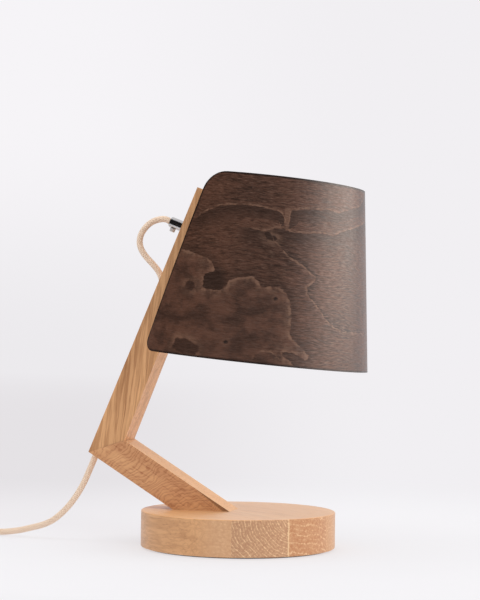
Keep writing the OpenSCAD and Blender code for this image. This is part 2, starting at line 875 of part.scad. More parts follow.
felt_pad();
base_stave(1);  // base_stave_1
base_stave(2);  // base_stave_2
base_stave(3);  // base_stave_3
base_stave(4);  // base_stave_4
base_screws();
lower_arm();
upper_arm();
elbow_dowels();
threaded_tube();
grip_body();
grip_screw();
fibre_disc();
shade_wall();
shade_back();
pivot_washer();
lock_nut();
holder_cap();
holder_skirt();
terminal_block();
screw_shell();
centre_contact();
core_wires();
bulb_cap();
bulb_tip();
bulb_glass();
cord_loop();
cord_in_groove();
cord_lead();
cord_coil();
coil_ties();
switch_base();
switch_cover();
switch_rocker();
switch_pin();
switch_screws();
plug_relief();
plug_body();
plug_pins();
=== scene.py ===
import json
import math

import bmesh
import bpy
import numpy as np
from mathutils import Matrix, Vector


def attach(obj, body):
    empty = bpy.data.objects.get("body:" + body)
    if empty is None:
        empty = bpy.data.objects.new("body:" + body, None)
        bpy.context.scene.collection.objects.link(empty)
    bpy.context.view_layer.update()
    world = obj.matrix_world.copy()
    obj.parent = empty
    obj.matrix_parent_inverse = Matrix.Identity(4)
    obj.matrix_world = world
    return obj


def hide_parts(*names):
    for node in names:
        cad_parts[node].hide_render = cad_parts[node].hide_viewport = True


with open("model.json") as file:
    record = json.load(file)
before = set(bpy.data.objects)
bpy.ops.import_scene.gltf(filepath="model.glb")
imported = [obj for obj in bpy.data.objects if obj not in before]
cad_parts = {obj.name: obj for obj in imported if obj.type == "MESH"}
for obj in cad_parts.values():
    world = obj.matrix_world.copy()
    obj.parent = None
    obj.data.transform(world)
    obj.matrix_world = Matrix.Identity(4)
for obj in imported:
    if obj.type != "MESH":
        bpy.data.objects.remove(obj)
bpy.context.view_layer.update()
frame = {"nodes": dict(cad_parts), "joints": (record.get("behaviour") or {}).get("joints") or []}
nodes = frame["nodes"]
swivel = next(joint for joint in frame["joints"] if joint["name"] == "shade_swivel")
MM = 0.001
ACROSS = Vector((0, 1, 0))
UP = Vector((0, 0, 1))

# Camera, fitted to the photograph's edges
PHOTO_SIZE = (480, 600)
FOCAL_PX = 1692.1
CAMERA_AT = Vector((0.40669, -1.61346, 0.19654))
CAMERA_AZIMUTH = math.radians(14.18)
CAMERA_PITCH = math.radians(1.573)
CAMERA_ROLL = math.radians(0.757)
CAMERA_REACH = 50
SENSOR_MM = 36.0


def camera_axes():
    """The camera's right, up and forward directions in the lamp's frame."""
    forward = Vector((-math.sin(CAMERA_AZIMUTH) * math.cos(CAMERA_PITCH),
                      math.cos(CAMERA_AZIMUTH) * math.cos(CAMERA_PITCH), math.sin(CAMERA_PITCH)))
    level = forward.cross(UP).normalized()
    upright = level.cross(forward)
    right = math.cos(CAMERA_ROLL) * level + math.sin(CAMERA_ROLL) * upright
    return right, right.cross(forward), forward


def make_camera():
    right, up, forward = camera_axes()
    data = bpy.data.cameras.new("camera")
    data.sensor_width = SENSOR_MM
    data.lens = SENSOR_MM * FOCAL_PX / max(PHOTO_SIZE)
    data.clip_end = CAMERA_REACH
    camera = add_object("camera", data)
    turn = Matrix((right, up, -forward)).transposed()
    camera.matrix_world = Matrix.Translation(CAMERA_AT) @ turn.to_4x4()
    bpy.context.scene.camera = camera


def in_plane(angle):
    """A direction in the plane of the arms, at an angle above the table."""
    return Vector((math.cos(angle), 0, math.sin(angle)))


# The lamp's directions and places: the pivot from the frame, the rest as in the part's source
PIVOT = Vector(swivel["pos_m"])
FRONT_NORMAL = Vector(swivel["axis"]).normalized()
FRONT_UP = Vector((-FRONT_NORMAL.z, 0, FRONT_NORMAL.x))
ELBOW = Vector((-150, 0, 90)) * MM
UPPER_ANGLE = math.radians(67.5)
UPPER_DIR = in_plane(UPPER_ANGLE)
UPPER_NORMAL = Vector((math.sin(UPPER_ANGLE), 0, -math.cos(UPPER_ANGLE)))
LOWER_ANGLE = math.radians(-31.5)
LOWER_DIR = in_plane(LOWER_ANGLE)
MITRE_ANGLE = (UPPER_ANGLE + LOWER_ANGLE) / 2
STAVE_ANGLE = math.radians(-43)
GLUE_V = -5

# Cord routes in millimetres, as in the part's source
CORD_D = 6.2
CORD_DEPTH = 3.5
GRIP_END_N = -42.87
GRIP_MIDDLE_N = -37.6
PIVOT_T = 242
LOOP_POINTS = [(-22.2, 0), (-28, -2.2), (-34.7, -7.8), (-38.8, -15.3), (-40.4, -24), (-38.6, -31.7),
               (-34, -37.5), (-27, -42), (-18, -46), (-10, -50), (-4, -55), (-0.5, -61), (2, -67.5),
               (3.2, -73)]
GROOVE_HEIGHTS = (164, 120, 80, 40, 0, -10)
LEAD_POINTS = [(-154, 0, 71.5), (-159, 0, 60), (-165, 0, 49), (-172.6, 0, 38), (-181.8, 1, 28.1),
               (-192.7, 2.5, 19.4), (-204.5, 5, 13.8), (-218, 8, 10), (-232, 11.5, 6.5), (-244, 13.5, 4.5),
               (-254.5, 16, 3.4), (-264, 20, 3.6), (-273, 24.5, 5)]
LINK_POINTS = [(-353, 62, 7.1), (-365, 65, 6.3), (-377, 63, 5.4), (-387, 55.5, 4.8), (-393, 44, 4.5),
               (-394, 31, 4.5), (-394, 18, 4.5), (-394, 4, 4.5)]
TAIL_POINTS = [(-342, -61, 11), (-336, -61, 10.1), (-330, -61, 8.4)]
SWITCH_CENTRE = Vector((-316, 45, 7.5))
SWITCH_ANGLE = math.radians(155)
SWITCH_LEN = 58
PLUG_START = Vector((-318, -61, 7))
COIL_CENTRE = (-348, -15)
COIL_R = 46
COIL_PITCH = 6.8
COIL_LOW_Z = 4.5
COIL_TURNS = 6.25
COIL_RINGS = 24
COIL_CLIMB = 0.5
COIL_START = math.pi
CORD_STEP = 1.5
CORD_SIDES = 20
CURVE_STEPS = 16


def smooth_step(x):
    x = min(max(x, 0.0), 1.0)
    return x * x * (3 - 2 * x)


def arm_point(depth, along):
    """A point of the upper arm in millimetres: depth from its rear face, and height along it."""
    return ELBOW / MM + along * UPPER_DIR + depth * UPPER_NORMAL


def axis_point(n):
    """A point on the pivot's axis in millimetres, n in front of the arm."""
    return PIVOT / MM + n * FRONT_NORMAL


def switch_end(side, out):
    """A point past one end of the cord switch, on its middle line."""
    direction = Vector((math.cos(SWITCH_ANGLE), math.sin(SWITCH_ANGLE), 0))
    return SWITCH_CENTRE + side * (SWITCH_LEN / 2 + out) * direction


def coil_radius(turn):
    """The coil winds inwards over its first half, and outwards again on top of it."""
    return COIL_R - COIL_PITCH * min(turn, COIL_TURNS - turn)


def coil_point(turn):
    r = coil_radius(turn)
    angle = COIL_START + 2 * math.pi * turn
    z = COIL_LOW_Z + COIL_PITCH * smooth_step((turn - COIL_TURNS / 2) / COIL_CLIMB + 0.5)
    return Vector((COIL_CENTRE[0] + r * math.cos(angle), COIL_CENTRE[1] + r * math.sin(angle), z))


def upper_route():
    """From the cord grip through the loop and the arm's groove to the cord switch."""
    route = [axis_point(GRIP_MIDDLE_N), axis_point(GRIP_END_N)]
    route += [arm_point(depth, PIVOT_T + height) for depth, height in LOOP_POINTS]
    route += [arm_point(CORD_DEPTH, t) for t in GROOVE_HEIGHTS]
    route += [Vector(p) for p in LEAD_POINTS]
    return route + [switch_end(-1, CORD_D), switch_end(-1, 0)]


def coil_route():
    """From the cord switch through the coil to the plug."""
    route = [switch_end(1, 0), switch_end(1, CORD_D)] + [Vector(p) for p in LINK_POINTS]
    steps = int(COIL_TURNS * COIL_RINGS)
    route += [coil_point(k / COIL_RINGS) for k in range(steps + 1)]
    return route + [Vector(p) for p in TAIL_POINTS] + [PLUG_START - Vector((CORD_D, 0, 0)), PLUG_START]


def smooth_path(route):
    """Points a cord's step apart on a smooth curve through the route, and their lengths along it."""
    p = np.array([list(v) for v in route])
    p = np.vstack([2 * p[0] - p[1], p, 2 * p[-1] - p[-2]])
    t = np.linspace(0, 1, CURVE_STEPS, endpoint=False)[:, None]
    fine = []
    for a, b, c, d in zip(p, p[1:], p[2:], p[3:]):
        fine.append(0.5 * (2 * b + (c - a) * t + (2 * a - 5 * b + 4 * c - d) * t ** 2
                           + (3 * b - a - 3 * c + d) * t ** 3))
    fine = np.vstack(fine + [p[-2:-1]])
    length = np.concatenate([[0], np.cumsum(np.linalg.norm(np.diff(fine, axis=0), axis=1))])
    marks = np.linspace(0, length[-1], int(length[-1] / CORD_STEP) + 1)
    return np.stack([np.interp(marks, length, fine[:, k]) for k in range(3)], axis=1), marks


# Meshes, with angles in degrees
SIDE_HINT = (0.3, 0.5, 0.8)
CORD_CREASE, PIECE_CREASE, SHADE_CREASE = 60, 48, 40
ROUND_FROM = 32
FLAT_WITHIN = 0.4
SAME_POINT = 1e-6


def add_object(name, data):
    piece = bpy.data.objects.new(name, data)
    bpy.context.scene.collection.objects.link(piece)
    return piece


def smooth_faces(mesh, crease):
    """Smooth shading, but for the edges sharper than the crease."""
    mesh.shade_smooth()
    mesh.set_sharp_from_angle(angle=math.radians(crease))


def grid_faces(rows, columns, closed):
    """Quads between rows of points; closed joins the last column to the first."""
    last = columns if closed else columns - 1
    return [(i * columns + k, i * columns + (k + 1) % columns,
             (i + 1) * columns + (k + 1) % columns, (i + 1) * columns + k)
            for i in range(rows - 1) for k in range(last)]


def tube(name, path, marks):
    """A cord along a path; its map holds the turn, 0 to 1, and the length in millimetres."""
    ahead = np.gradient(path, axis=0)
    ahead /= np.linalg.norm(ahead, axis=1)[:, None]
    side = np.cross(ahead[0], SIDE_HINT)
    turn = np.linspace(0, 2 * math.pi, CORD_SIDES, endpoint=False)[:, None]
    rings = []
    for place, forward in zip(path, ahead):
        side = side - forward * side.dot(forward)
        side /= np.linalg.norm(side)
        rings.append(place + CORD_D / 2 * (np.cos(turn) * side + np.sin(turn) * np.cross(forward, side)))
    faces = grid_faces(len(path), CORD_SIDES, True)
    last = CORD_SIDES * (len(path) - 1)
    ends = [tuple(reversed(range(CORD_SIDES))), tuple(range(last, last + CORD_SIDES))]
    mesh = bpy.data.meshes.new(name)
    mesh.from_pydata((np.concatenate(rings) * MM).tolist(), [], faces + ends)
    corners = []
    for low, high in zip(marks, marks[1:]):
        for k in range(CORD_SIDES):
            a, b = k / CORD_SIDES, (k + 1) / CORD_SIDES
            corners += [(a, low), (b, low), (b, high), (a, high)]
    corners += [(0, marks[0])] * CORD_SIDES + [(0, marks[-1])] * CORD_SIDES
    mesh.uv_layers.new(name="map").data.foreach_set("uv", np.array(corners, np.float32).ravel())
    smooth_faces(mesh, CORD_CREASE)
    return add_object(name, mesh)


def round_edges(bm, width, segments):
    edges = [e for e in bm.edges
             if len(e.link_faces) == 2 and e.calc_face_angle() > math.radians(ROUND_FROM)]
    bmesh.ops.bevel(bm, geom=edges, offset=width * MM, offset_type="OFFSET", segments=segments, profile=0.5,
                    affect="EDGES", clamp_overlap=True)


def shaded(name, bm):
    """An object from bm, smooth but for its sharp edges, with its flats kept flat."""
    mesh = bpy.data.meshes.new(name)
    bm.to_mesh(mesh)
    bm.free()
    smooth_faces(mesh, PIECE_CREASE)
    piece = add_object(name, mesh)
    normals = piece.modifiers.new("normals", "WEIGHTED_NORMAL")
    normals.keep_sharp = True
    return piece


def softened(name, node, width, segments=2):
    """A copy of a solid with its edges rounded, by a width in millimetres."""
    source = nodes[node].data
    bm = bmesh.new()
    points = [bm.verts.new(v.co) for v in source.vertices]
    for face in source.polygons:
        bm.faces.new([points[i] for i in face.vertices])
    bmesh.ops.remove_doubles(bm, verts=bm.verts, dist=SAME_POINT)
    bmesh.ops.dissolve_limit(bm, angle_limit=math.radians(FLAT_WITHIN), verts=bm.verts, edges=bm.edges)
    round_edges(bm, width, segments)
    return shaded(name, bm)


# Ties round the coil, in millimetres and degrees
TIE_ANGLES = (110, 350)
TIE_WIDTH, TIE_THICK, TIE_GAP = 8.0, 0.9, 0.1
TIE_STEPS = 8


def strap_outline(inner, outer, low, high, r):
    """A rounded rectangle in a plane through the coil's axis, as (radius, height) points."""
    points = []
    middles = ((outer - r, high - r), (inner + r, high - r), (inner + r, low + r), (outer - r, low + r))
    for quarter, (x, z) in enumerate(middles):
        for step in range(TIE_STEPS + 1):
            t = math.pi / 2 * (quarter + step / TIE_STEPS)
            points.append((x + r * math.cos(t), z + r * math.sin(t)))
    return points


def make_ties():
    """Two straps that lie snugly round the coil's turns."""
    bm = bmesh.new()
    for degrees in TIE_ANGLES:
        angle = math.radians(degrees)
        out = Vector((math.cos(angle), math.sin(angle), 0))
        side = Vector((-math.sin(angle), math.cos(angle), 0))
        first = (angle - COIL_START) / (2 * math.pi) % 1
        turns = [first + k for k in range(math.ceil(COIL_TURNS)) if first + k <= COIL_TURNS]
        radii = [coil_radius(turn) for turn in turns]
        loops = []
        for lift, widths in ((0, (1, -1)), (TIE_THICK, (-1, 1))):
            reach = CORD_D / 2 + TIE_GAP + lift
            outline = strap_outline(min(radii) - reach, max(radii) + reach, COIL_LOW_Z - reach,
                                    COIL_LOW_Z + COIL_PITCH + reach, reach)
            for width in widths:
                start = Vector((*COIL_CENTRE, 0)) + side * width * TIE_WIDTH / 2
                loops.append([bm.verts.new((start + out * r + UP * z) * MM) for r, z in outline])
        for a, b in zip(loops, loops[1:] + loops[:1]):
            for k in range(len(a)):
                after = (k + 1) % len(a)
                bm.faces.new((a[k], a[after], b[after], b[k]))
    bmesh.ops.recalc_face_normals(bm, faces=bm.faces)
    return shaded("ties_soft", bm)


# Node graphs
class Graph:
    """The node tree of a material, or of the world, with short ways to add and link nodes."""

    def __init__(self, name, world=False):
        self.owner = (bpy.data.worlds if world else bpy.data.materials).new(name)
        self.owner.use_nodes = True
        self.tree = self.owner.node_tree
        self.shader = self.tree.nodes.get("Principled BSDF")

    def fill(self, node, inputs):
        for key, value in inputs.items():
            socket = node.inputs[key]
            if isinstance(value, bpy.types.NodeSocket):
                self.tree.links.new(value, socket)
            else:
                socket.default_value = value

    def add(self, kind, inputs, **settings):
        node = self.tree.nodes.new(kind)
        for key, value in settings.items():
            setattr(node, key, value)
        self.fill(node, inputs)
        return node

    def coords(self, output="Object"):
        return self.add("ShaderNodeTexCoord", {}).outputs[output]

    def places(self):
        """The object's own places in millimetres."""
        return self.mapping(self.coords(), scale=(1 / MM,) * 3)

    def mapping(self, vector, location=(0, 0, 0), rotation=(0, 0, 0), scale=(1, 1, 1)):
        inputs = {"Vector": vector, "Location": location, "Rotation": rotation, "Scale": scale}
        return self.add("ShaderNodeMapping", inputs).outputs[0]

    def noise(self, vector, scale=1.0, detail=2.0, roughness=0.5, distortion=0.0):
        """Noise of one scale, or of one for each axis."""
        if isinstance(scale, tuple):
            vector, scale = self.mapping(vector, scale=scale), 1.0
        inputs = {"Vector": vector, "Scale": scale, "Detail": detail, "Roughness": roughness,
                  "Distortion": distortion}
        return self.add("ShaderNodeTexNoise", inputs).outputs["Fac"]

    def math(self, operation, a, b=0.0, c=0.0):
        return self.add("ShaderNodeMath", {0: a, 1: b, 2: c}, operation=operation).outputs[0]

    def times(self, a, b):
        return self.math("MULTIPLY", a, b)

    def linear(self, value, slope, start):
        return self.math("MULTIPLY_ADD", value, slope, start)

    def highest(self, first, *others):
        for other in others:
            first = self.math("MAXIMUM", first, other)
        return first

    def dot(self, a, b):
        return self.add("ShaderNodeVectorMath", {0: a, 1: b}, operation="DOT_PRODUCT").outputs["Value"]

    def facing(self, direction):
        """How much a face looks along a direction, or against it."""
        return self.math("ABSOLUTE", self.dot(self.coords("Normal"), tuple(direction)))

    def xyz(self, vector):
        return self.add("ShaderNodeSeparateXYZ", {0: vector}).outputs

    def combine(self, x, y, z):
        return self.add("ShaderNodeCombineXYZ", {0: x, 1: y, 2: z}).outputs[0]

    def length(self, a, b):
        return self.math("SQRT", self.math("ADD", self.times(a, a), self.times(b, b)))

    def span(self, value, low, high, to_low=0.0, to_high=1.0, smooth=True):
        """Maps value from low..high to to_low..to_high, held at the ends."""
        inputs = {0: value, 1: low, 2: high, 3: to_low, 4: to_high}
        kind = "SMOOTHSTEP" if smooth else "LINEAR"
        return self.add("ShaderNodeMapRange", inputs, interpolation_type=kind).outputs[0]

    def mix(self, factor, a, b):
        return self.add("ShaderNodeMix", {0: factor, 6: a, 7: b}, data_type="RGBA").outputs[2]

    def attribute(self, name):
        return self.add("ShaderNodeAttribute", {}, attribute_name=name).outputs["Fac"]

    def bump(self, height, distance, strength):
        inputs = {"Height": height, "Distance": distance, "Strength": strength}
        return self.add("ShaderNodeBump", inputs).outputs[0]

    def surface(self, shader):
        """Shows another shader's output in place of the plain one."""
        self.tree.links.new(shader.outputs[0], self.tree.nodes["Material Output"].inputs["Surface"])

    def finish(self, **inputs):
        self.fill(self.shader, {key.replace("_", " "): value for key, value in inputs.items()})
        return self.owner


def rgb(r, g, b):
    """A linear colour with full alpha from the 0 to 255 values seen on a screen."""
    def linear(value):
        value /= 255
        return value / 12.92 if value <= 0.04045 else ((value + 0.055) / 1.055) ** 2.4
    return (linear(r), linear(g), linear(b), 1.0)


def scaled(colour, factor):
    return tuple(min(c * factor, 1.0) for c in colour[:3]) + (1.0,)


# Oak; the scales of its noises are per millimetre along the grain, across it and up
OAK_LIGHT, OAK_DARK = rgb(232, 178, 126), rgb(158, 104, 60)
END_BODY, END_LINE = (182, 132, 96), rgb(238, 198, 152)
# MITRE_AND_SHADOW_DARK colours the mitre's dark joint line, and also the painted shadow at the lower arm's
# foot
GLUE_LINE, MITRE_AND_SHADOW_DARK = rgb(242, 206, 158), rgb(112, 70, 40)
FIBRE_SCALE, GRIT_SCALE, CLOUD_SCALE = (0.04, 0.9, 0.9), (0.1, 0.45, 0.45), (0.006, 0.05, 0.05)
DRIFT_SCALE, STRAY_SCALE = (0.014, 0.02, 0.02), (0.006, 0.06, 0.06)
WIDE_VEIN, FINE_VEIN, FINE_VEIN_SHIFT = 0.06, 0.07, (37, 11, 5)
CONTOUR_SCALE, CONTOUR_SPACING, CONTOUR_WANDER = (0.03, 0.035, 0.035), 4.2, 12.0
OAK_BUMP, OAK_COAT_ROUGHNESS = 0.00012, 0.28
OAK_LOOK = {
    "ring": 5.6,  # spacing of the growth rings in millimetres
    "streaks": 0.5,  # how dark the streaks along the grain are
    "run": 0.006,  # how short they are
    "tight": 0.1,  # how close they are
    "sway": 6.0,  # how wavy they are
    "figure_turn": 0.0,  # how far they turn from the grain
    "waves": 0.0,  # how strong the flat-sawn lines are
    "dark": OAK_DARK,  # the dark colour
    "depth": 0.15,  # how much of it there is
    "side_tone": 0.0,  # painted shade: how much more of it on the faces across the piece's up, where less light falls; a negative amount paints light there
    "ends": 0.5,  # how strong the rings show on the end grain
    "end_body": END_BODY,  # the end grain's colour
    "coat": 0.0,  # the oil's sheen
}


def veins(g, vector, along, across, width):
    """Thin winding lines, where a stretched noise passes its middle value."""
    noise = g.noise(vector, (along, across, across), detail=3, roughness=0.55)
    return g.span(g.math("ABSOLUTE", g.math("SUBTRACT", noise, 0.5)), width, width * 0.2)


def contours(g, vector):
    """Winding lines side by side, like the growth rings on a flat-sawn face."""
    across = g.math("DIVIDE", g.xyz(vector)["Y"], CONTOUR_SPACING)
    wander = g.noise(vector, CONTOUR_SCALE, detail=3)
    level = g.math("FRACT", g.linear(wander, CONTOUR_WANDER, across))
    return g.times(g.span(level, 0.0, 0.2), g.span(level, 0.7, 0.25))


def oak_long_grain(g, local, fibre, pores, flat, look):
    """The colour along the grain: streaks, pores, flat-sawn lines and slow clouds."""
    figure = g.mapping(local, rotation=(0, 0, look["figure_turn"]))
    x, y, z = g.xyz(figure)
    drift = g.noise(figure, DRIFT_SCALE)
    figure = g.combine(x, g.linear(drift, look["sway"] * 2, y), z)
    run, tight = look["run"], look["tight"]
    wide = veins(g, figure, run, tight, WIDE_VEIN)
    fine = veins(g, g.mapping(figure, location=FINE_VEIN_SHIFT), run * 1.6, tight * 2.1, FINE_VEIN)
    tone = g.times(g.highest(wide, g.times(fine, 0.75)), look["streaks"])
    if look["waves"]:
        lines = g.times(contours(g, figure), g.span(fibre, 0.3, 0.6, 0.5, 1.0))
        tone = g.linear(lines, look["waves"], tone)
    tone = g.linear(pores, 0.28, tone)
    cloud = g.noise(local, CLOUD_SCALE, detail=4)
    tone = g.math("ADD", tone, g.linear(cloud, 0.9, look["depth"] - 0.45))
    # Painted shade: faces across up get more of the dark colour, and a negative amount paints light on them
    # instead
    tone = g.math("ADD", tone, g.span(flat, 0.7, 0.3, 0, look["side_tone"]))
    return g.mix(g.span(tone, 0.0, 1.0, smooth=False), OAK_LIGHT, look["dark"])


def oak_end_grain(g, local, grit, look):
    """The colour of the end grain: pale growth rings round the pith line, crossed by rays."""
    place = g.xyz(local)
    y, z = place["Y"], place["Z"]
    radius = g.length(y, z)
    stray = g.noise(local, STRAY_SCALE, detail=4, roughness=0.6)
    year = g.math("FRACT", g.linear(stray, 1.6, g.math("DIVIDE", radius, look["ring"])))
    late = g.times(g.span(year, 0.0, 0.05), g.span(year, 0.2, 0.07, 0, 0.9))
    second = g.times(g.span(year, 0.5, 0.54), g.span(year, 0.66, 0.56, 0, 0.5))
    late = g.times(g.highest(late, second), g.span(grit, 0.38, 0.56, 0.2, 1.0))
    spokes = g.combine(g.times(g.math("ARCTAN2", z, y), 45), g.times(radius, 0.06), 0.0)
    rays = g.span(g.noise(spokes, detail=3), 0.55, 0.72)
    tone = g.times(g.linear(rays, 0.3, late), look["ends"])
    tone = g.math("ADD", tone, g.linear(grit, 1.1, -0.42))
    return g.mix(g.span(tone, 0.0, 1.0, smooth=False), rgb(*look["end_body"]), END_LINE)


def joint_line(g, colour, places, grit, direction, at, line, strength):
    """A thin uneven line in a joint's plane, which crosses a direction at a place in millimetres."""
    apart = g.math("SUBTRACT", g.dot(places, tuple(direction)), at)
    apart = g.math("ABSOLUTE", g.math("ADD", apart, g.linear(grit, 4.0, -2.0)))
    return g.mix(g.span(apart, 1.0, 0.4, 0, strength), colour, line)


def painted_edge_shadow(g, colour, places, flat, along, across, start, end, edge, width):
    """A painted shadow: a dark wedge on the broad faces, which widens along an edge from its start to its
    end.
    """
    reach = g.span(g.dot(places, tuple(along)), start, end, 0, width, smooth=False)
    inwards = g.math("SUBTRACT", edge, g.dot(places, tuple(across)))
    shadow_wedge = g.times(g.span(g.math("SUBTRACT", reach, inwards), 0.0, 1.6, 0, 0.65), g.span(flat, 0.6, 0.9))
    return g.mix(shadow_wedge, colour, MITRE_AND_SHADOW_DARK)


def oak(name, along, up, heart, seam=None, shadow_wedge=None, **changes):
    """Solid oak with its grain along one direction and its broad faces across up.
    heart is a point of the pith line in millimetres; seam is a joint's direction, place, colour and strength;
    shadow_wedge is a painted shadow's start, end, edge and width; and changes are made to the usual look."""
    look = {**OAK_LOOK, **changes}
    g = Graph(name)
    basis = Matrix((along, up.cross(along), up))
    local = g.mapping(g.coords(), location=-(basis @ Vector(heart)), rotation=basis.to_euler(),
                      scale=(1 / MM,) * 3)
    places = g.places()
    fibre = g.noise(local, FIBRE_SCALE, detail=4, roughness=0.65)
    pores = g.span(fibre, 0.52, 0.72)
    grit = g.noise(local, GRIT_SCALE, detail=3, roughness=0.7)
    flat = g.facing(up)
    colour = g.mix(g.span(g.facing(along), 0.5, 0.75), oak_long_grain(g, local, fibre, pores, flat, look),
                   oak_end_grain(g, local, grit, look))
    if seam:
        colour = joint_line(g, colour, places, grit, *seam)
    if shadow_wedge:
        colour = painted_edge_shadow(g, colour, places, flat, along, basis[1], *shadow_wedge)
    height = g.linear(fibre, 0.5, g.times(pores, -0.8))
    rough = g.span(fibre, 0.3, 0.7, 0.38, 0.52)
    return g.finish(Base_Color=colour, Roughness=rough, Coat_Weight=look["coat"],
                    Coat_Roughness=OAK_COAT_ROUGHNESS, Normal=g.bump(height, OAK_BUMP, 0.5))


# Veneer
VENEER_DARK, VENEER_WARM, VENEER_PALE = rgb(48, 29, 19), rgb(94, 58, 40), rgb(134, 98, 76)
PATCH_LOW, PATCH_HIGH = rgb(62, 39, 28), rgb(100, 64, 47)
SPOT_TONE, KNOT_TONE, EDGE_AND_GAP_SHADE = rgb(54, 34, 25), rgb(24, 14, 11), rgb(30, 17, 11)
VENEER_SWAY = 14.0
VENEER_BUMP = 0.00012
# How much of the raggedness each of the figure's outlines takes
RAGGED = {"patch": 1.0, "spot": 0.9, "ledge": 0.6, "crack": 0.8}


def veneer_figure(g, local, dash, tone):
    """The shade's figure and a darker band along the wall's edges, partly painted shadow, over the veneer's
    tone, from distances in millimetres that its mesh carries.
    """
    ragged = g.linear(g.noise(local, (0.2, 0.3, 0), detail=4), 5.0, -2.5)
    broken = g.span(g.noise(local, (0.16, 0.16, 0), detail=3), 0.38, 0.6, 0.15, 1.0)
    patch, spot, ledge, crack = (g.linear(ragged, share, g.attribute(name)) for name, share in RAGGED.items())
    inside = g.times(g.span(patch, 0.4, -0.4), g.span(spot, -0.5, 0.5))
    mottle = g.noise(local, (0.05, 0.07, 0), detail=6, roughness=0.66)
    smooth = g.mix(g.span(mottle, 0.36, 0.64), PATCH_LOW, PATCH_HIGH)

    rim = g.highest(g.span(patch, -4.5, -0.8, 0, 0.62), g.span(patch, -12.0, -1.0, 0, 0.3))
    above = g.times(g.span(ledge, 0.4, -0.4), g.span(ledge, -2.6, -0.3, 0, 0.65))
    slant = g.times(g.span(crack, 0.0, 0.7), g.span(crack, 2.8, 0.7, 0, 0.7))
    halo = g.times(g.span(spot, 0.0, 0.8), g.span(spot, 8.0, 0.8, 0, 0.42))
    halo = g.times(halo, g.span(mottle, 0.4, 0.6, 0.25, 1.0))
    post = g.span(g.attribute("post"), 0.8, -0.8, 0, 0.34)
    light = g.highest(halo, post, g.times(g.highest(g.times(inside, rim), above, slant), broken))

    below = g.times(g.span(ledge, -0.2, 0.8), g.span(ledge, 22, 0.5, 0, 0.6))
    fall = g.highest(g.span(patch, 10, 0.5, 0, 0.4), g.span(g.attribute("bay"), 20, 9, 0, 0.75))
    outer = g.times(g.span(patch, -0.2, 0.8), fall)
    specks = g.times(g.span(crack, 0.3, -0.4), g.span(crack, -6, -0.4))
    specks = g.times(specks, g.span(dash, 0.42, 0.58))
    shadow = g.highest(below, outer, specks)

    knot = g.attribute("knot")
    tone = g.mix(shadow, tone, VENEER_DARK)
    tone = g.mix(g.times(inside, 0.68), tone, smooth)
    tone = g.mix(light, tone, VENEER_PALE)
    tone = g.mix(g.span(spot, 0.9, -0.9, 0, 0.6), tone, SPOT_TONE)
    tone = g.mix(g.span(knot, 4.6, 2.4, 0, 0.12), tone, VENEER_PALE)
    tone = g.mix(g.span(knot, 2.5, 1.0, 0, 0.8), tone, KNOT_TONE)
    # Darker along the wall's cut edges: the veneer's own darker cut edge, and painted shadow of the gap where
    # the wall meets the arm
    return g.mix(g.span(g.attribute("edge"), 2.6, 0.9, 0, 0.85), tone, EDGE_AND_GAP_SHADE)


def veneer(name, figured):
    """Dark veneer with short flecks along the grain, and on the shade its figure."""
    g = Graph(name)
    if figured:
        local = g.coords("UV")
    else:
        x, y, z = g.xyz(g.places())
        local = g.combine(y, z, x)
    along, up, depth = g.xyz(local)
    sway = g.noise(local, (0.016, 0.03, 0.02), detail=3)
    wavy = g.combine(along, g.linear(sway, VENEER_SWAY, up), depth)
    fleck = g.noise(wavy, (0.06, 0.55, 0.2), detail=4, roughness=0.65)
    dash = g.noise(wavy, (0.15, 1.0, 0.3), detail=3, roughness=0.65)
    cloud = g.noise(local, (0.02, 0.035, 0.02), detail=4)
    warmth = g.math("ADD", fleck, g.linear(cloud, 0.5, -0.25))
    tone = g.mix(g.span(warmth, 0.18, 0.68), VENEER_DARK, VENEER_WARM)
    tone = g.mix(g.span(dash, 0.52, 0.66, 0, 0.7), tone, VENEER_DARK)
    tone = g.mix(g.span(dash, 0.46, 0.32, 0, 0.36), tone, VENEER_PALE)
    if figured:
        tone = veneer_figure(g, local, dash, tone)
    rough = g.span(fleck, 0.3, 0.7, 0.36, 0.48)
    gloss = g.span(dash, 0.62, 0.36, 0.36, 0.66)
    return g.finish(Base_Color=tone, Roughness=rough, Specular_IOR_Level=gloss, Coat_Weight=0.3,
                    Coat_Roughness=0.4, Normal=g.bump(dash, VENEER_BUMP, 0.4))


# Other materials
YARNS, YARN_LAY = 9.0, 3.4
JACKET_VALLEY_SHADE, JACKET_HIGH = rgb(214, 180, 152), rgb(252, 228, 204)
JACKET_MOTTLE, JACKET_FUZZ = rgb(204, 170, 142), rgb(206, 176, 150)
OPAL_HIGH, OPAL_LOW = rgb(250, 247, 240), rgb(242, 239, 232)
LINING_HIGH, LINING_LOW = rgb(236, 230, 216), rgb(226, 219, 203)


